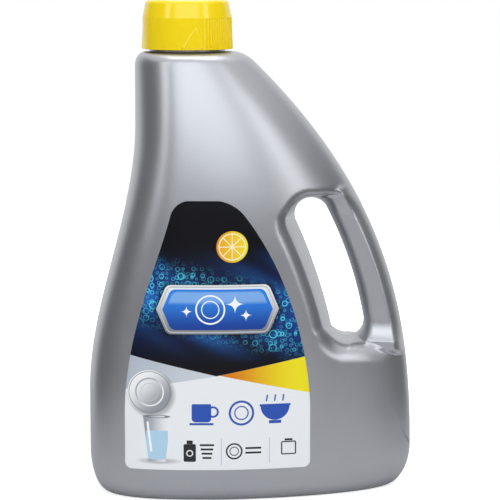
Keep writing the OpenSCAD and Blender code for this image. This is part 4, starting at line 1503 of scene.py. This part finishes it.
@dataclass
class Labels:
    """The two film labels, which follow the body's front and back."""

    form: BodyForm
    low_z: float = 18.5
    high_z: float = 167.5
    half_w: float = 51.2
    top_half_w: float = 15.8
    left: float = 18.2
    film_t: float = 0.245
    glue_t: float = 0.1
    wide_z: float = 50.0
    shift: float = 7.6
    low_r: float = 3.5
    high_r: float = 8.0
    power: float = 1.82
    shift_power: float = 5.2
    rim_share: float = 0.6
    rim_in: float = 0.12

    def outline(self, z: Array) -> tuple[Array, Array]:
        """The middle and half the width of the label at a height.

        Returns:
            The middle, which shifts to the left by a power of the rise, and half the width,
            which narrows by a power of the rise and is rounded at each corner.
        """
        rise = part01((z - self.wide_z) / (self.high_z - self.wide_z))
        middle = -self.left - self.shift * rise ** self.shift_power
        half = (mix(self.half_w, self.top_half_w, rise ** self.power)
                - rounded(self.low_z + self.low_r - z, self.low_r, self.low_r)
                - rounded(z - self.high_z + self.high_r, self.high_r, self.high_r))
        return middle, half

    def sheet(self, out: float, inset: float) -> Array:
        """One face of the film, this far off the body.

        Args:
            out: distance from the body.
            inset: how far its edge lies inside the outline, for a rounded rim.

        Returns:
            The grid of points.
        """
        corner, shoulder = self.low_z + self.low_r, self.high_z - self.high_r
        z = np.concatenate([ease(self.low_z, corner, 10, "early"), ease(corner, shoulder, 90),
                            ease(shoulder, self.high_z, 16, "late"), [self.high_z]])
        middle, half = self.outline(z)
        q = np.linspace(-1, 1, 65)
        x = middle[:, None] + (half[:, None] - inset) * q[None, :]
        z = np.clip(z, self.low_z + inset, self.high_z - inset)[:, None] + 0 * x
        return np.stack([x, -self.form.depth(x, z) - out, z], -1)

    def build(self, name: str, node: str, side: int,
              material: bpy.types.Material) -> bpy.types.Object:
        """Builds one label as a thin closed film with a softened rim.

        Args:
            name: the piece's name.
            node: the CAD node that it replaces.
            side: 1 for the front and -1 for the back.
            material: its print.

        Returns:
            The object.
        """
        low = self.sheet(self.glue_t, 0.0)
        mid = self.sheet(self.glue_t + self.film_t * self.rim_share, 0.0)
        high = self.sheet(self.glue_t + self.film_t, self.rim_in)
        skin = Skin()
        mirror = np.array([1, side, 1])
        turned = side < 0
        skin.grid(high * mirror, flip=turned)
        skin.grid(low * mirror, flip=not turned)

        def rim(grid: Array) -> Array:
            """The points round the edge of a grid, one after the other."""
            return np.concatenate([grid[:-1, 0], grid[-1, :-1], grid[:0:-1, -1], grid[0, :0:-1]])

        skin.grid(np.stack([rim(low), rim(mid), rim(high)]) * mirror, closed=True,
                  flip=not turned)
        made = skin.piece(name, material)
        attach(made, "container")
        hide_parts(node)
        return made


@dataclass
class Studio:
    """The pale floor, the soft light and the camera."""

    distance: float = 1200.0
    height: float = 300.0
    aim: float = 137.0
    focal: float = 2145.4
    axis_x: float = 250.57
    axis_y: float = 246.04
    frame_px: float = 500.0
    sensor: float = 36.0
    lamp_aim: float = 0.14
    side_level: float = 0.14
    light_level: float = 0.42

    def floor(self) -> None:
        """Makes the floor: one long sheet just under the base, with the white world beyond it."""
        skin = Skin()
        x, y = np.meshgrid(np.linspace(-270, 270, 3), np.linspace(-2200, 1400, 3))
        skin.grid(np.stack([x, y, np.full_like(x, -0.05)], -1))
        skin.piece("studio_floor", Floor().material())

    def lamp(self, name: str, place: tuple[float, float, float], size: tuple[float, float],
             power: float, tint: Colour = (1.0, 1.0, 1.0)) -> None:
        """Hangs one soft box that faces the object.

        Args:
            name: its name.
            place: where it hangs, in metres.
            size: its width and height, in metres.
            power: its power in watts.
            tint: the colour of its light.
        """
        data = bpy.data.lights.new(name, "AREA")
        data.shape = "RECTANGLE"
        data.size, data.size_y = size
        data.energy = power
        data.color = tint
        made = bpy.data.objects.new(name, data)
        made.location = place
        way = np.array([0.0, 0.0, self.lamp_aim]) - np.array(place)
        flat = math.hypot(way[0], way[1])
        made.rotation_euler = (math.pi / 2 + math.atan2(way[2], flat), 0.0,
                               math.atan2(way[1], way[0]) - math.pi / 2)
        bpy.context.scene.collection.objects.link(made)

    def world(self) -> None:
        """White to the camera, white behind the object in reflections, and dim at its sides."""
        world = bpy.data.worlds.new("soft_studio")
        world.use_nodes = True
        bpy.context.scene.world = world
        t = Tree(world.node_tree)
        out = world.node_tree.nodes["World Output"]
        back = world.node_tree.nodes["Background"]
        way = t.axes(t.add("ShaderNodeTexCoord").outputs["Generated"])
        rear = t.ramp(way[1], 0.40, 0.72)
        top = t.ramp(way[2], 0.40, 0.65)
        white = t.math("MAXIMUM", rear, top)
        glossy = t.math("ADD", self.side_level, t.math("MULTIPLY", white, 1.0 - self.side_level))
        rays = t.add("ShaderNodeLightPath")
        soft = t.math("ADD", self.light_level, t.math(
            "MULTIPLY", rays.outputs["Is Glossy Ray"],
            t.math("SUBTRACT", glossy, self.light_level)))
        level = t.math("ADD", soft, t.math("MULTIPLY", rays.outputs["Is Camera Ray"],
                                           t.rest(soft)))
        t.put(back.inputs[0], (1.0, 1.0, 1.0, 1.0))
        t.put(back.inputs[1], level)
        t.put(out.inputs[0], back.outputs[0])

    def camera(self) -> None:
        """Puts the camera at the photograph's place, with its framing."""
        data = bpy.data.cameras.new("camera")
        data.sensor_width = self.sensor
        data.lens = self.focal / self.frame_px * self.sensor
        data.shift_x = -(self.axis_x - self.frame_px / 2) / self.frame_px
        data.shift_y = (self.axis_y - self.frame_px / 2) / self.frame_px
        data.clip_start, data.clip_end = 0.05, 30.0
        made = bpy.data.objects.new("camera", data)
        made.location = (0.0, -self.distance * MM, self.height * MM)
        drop = math.atan2(self.height - self.aim, self.distance)
        made.rotation_euler = (math.pi / 2 - drop, 0.0, 0.0)
        bpy.context.scene.collection.objects.link(made)
        bpy.context.scene.camera = made

    def build(self) -> None:
        """Builds the floor, the lamps, the world and the camera."""
        self.floor()
        self.lamp("front_box", (0.0, -1.35, 0.78), (1.75, 0.80), 9.4, (0.95, 0.98, 1.0))
        self.lamp("left_strip", (-1.22, -0.92, 0.78), (0.34, 0.86), 2.8)
        self.lamp("right_strip", (1.22, -0.92, 0.70), (0.34, 1.05), 3.8)
        self.lamp("top_box", (0.0, 0.1, 1.5), (1.2, 0.9), 9.5)
        self.world()
        self.camera()
        bpy.context.scene.view_settings.view_transform = "Standard"


def main() -> None:
    """Builds the container, piece by piece, and then its studio."""
    logging.basicConfig(level=logging.INFO, format="%(name)s: %(message)s")
    effects = Effects()
    pearl = MouldedPlastic("pearl_grey", (0.47, 0.48, 0.51), (0.41, 0.418, 0.45), Pigment.PEARL,
                           0.35, 0.017, 0.45, parting=0.30)
    yellow = MouldedPlastic("gloss_yellow", (0.96, 0.74, 0.006), (0.93, 0.66, 0.004), Pigment.SOLID,
                            0.16, 0.003, 0.8, sheen_clouds=0.05)
    foam = MouldedPlastic("white_foam", (0.80, 0.79, 0.74), (0.68, 0.67, 0.62), Pigment.SOLID,
                          0.7, 0.06, 0.3)
    form = BodyForm()
    made = [
        Bottle(form).build(pearl.material(effects)),
        Cap(form).build(yellow.material(effects)),
        Liner(form).build(foam.material(effects)),
    ]
    labels = Labels(form)
    for name, node, side, film in (
            ("label_front", "front_label", 1, PrintedFilm("front_print", True)),
            ("label_back", "back_label", -1, PrintedFilm("back_print", False))):
        made.append(labels.build(name, node, side, film.material(effects)))
    for piece in made:
        low, high = np.array(piece.bound_box).min(0), np.array(piece.bound_box).max(0)
        log.info("%s: %d faces, %.1f x %.1f x %.1f mm", piece.name, len(piece.data.polygons),
                 *((high - low) / MM))
    Studio().build()


if __name__ == "__main__":
    main()
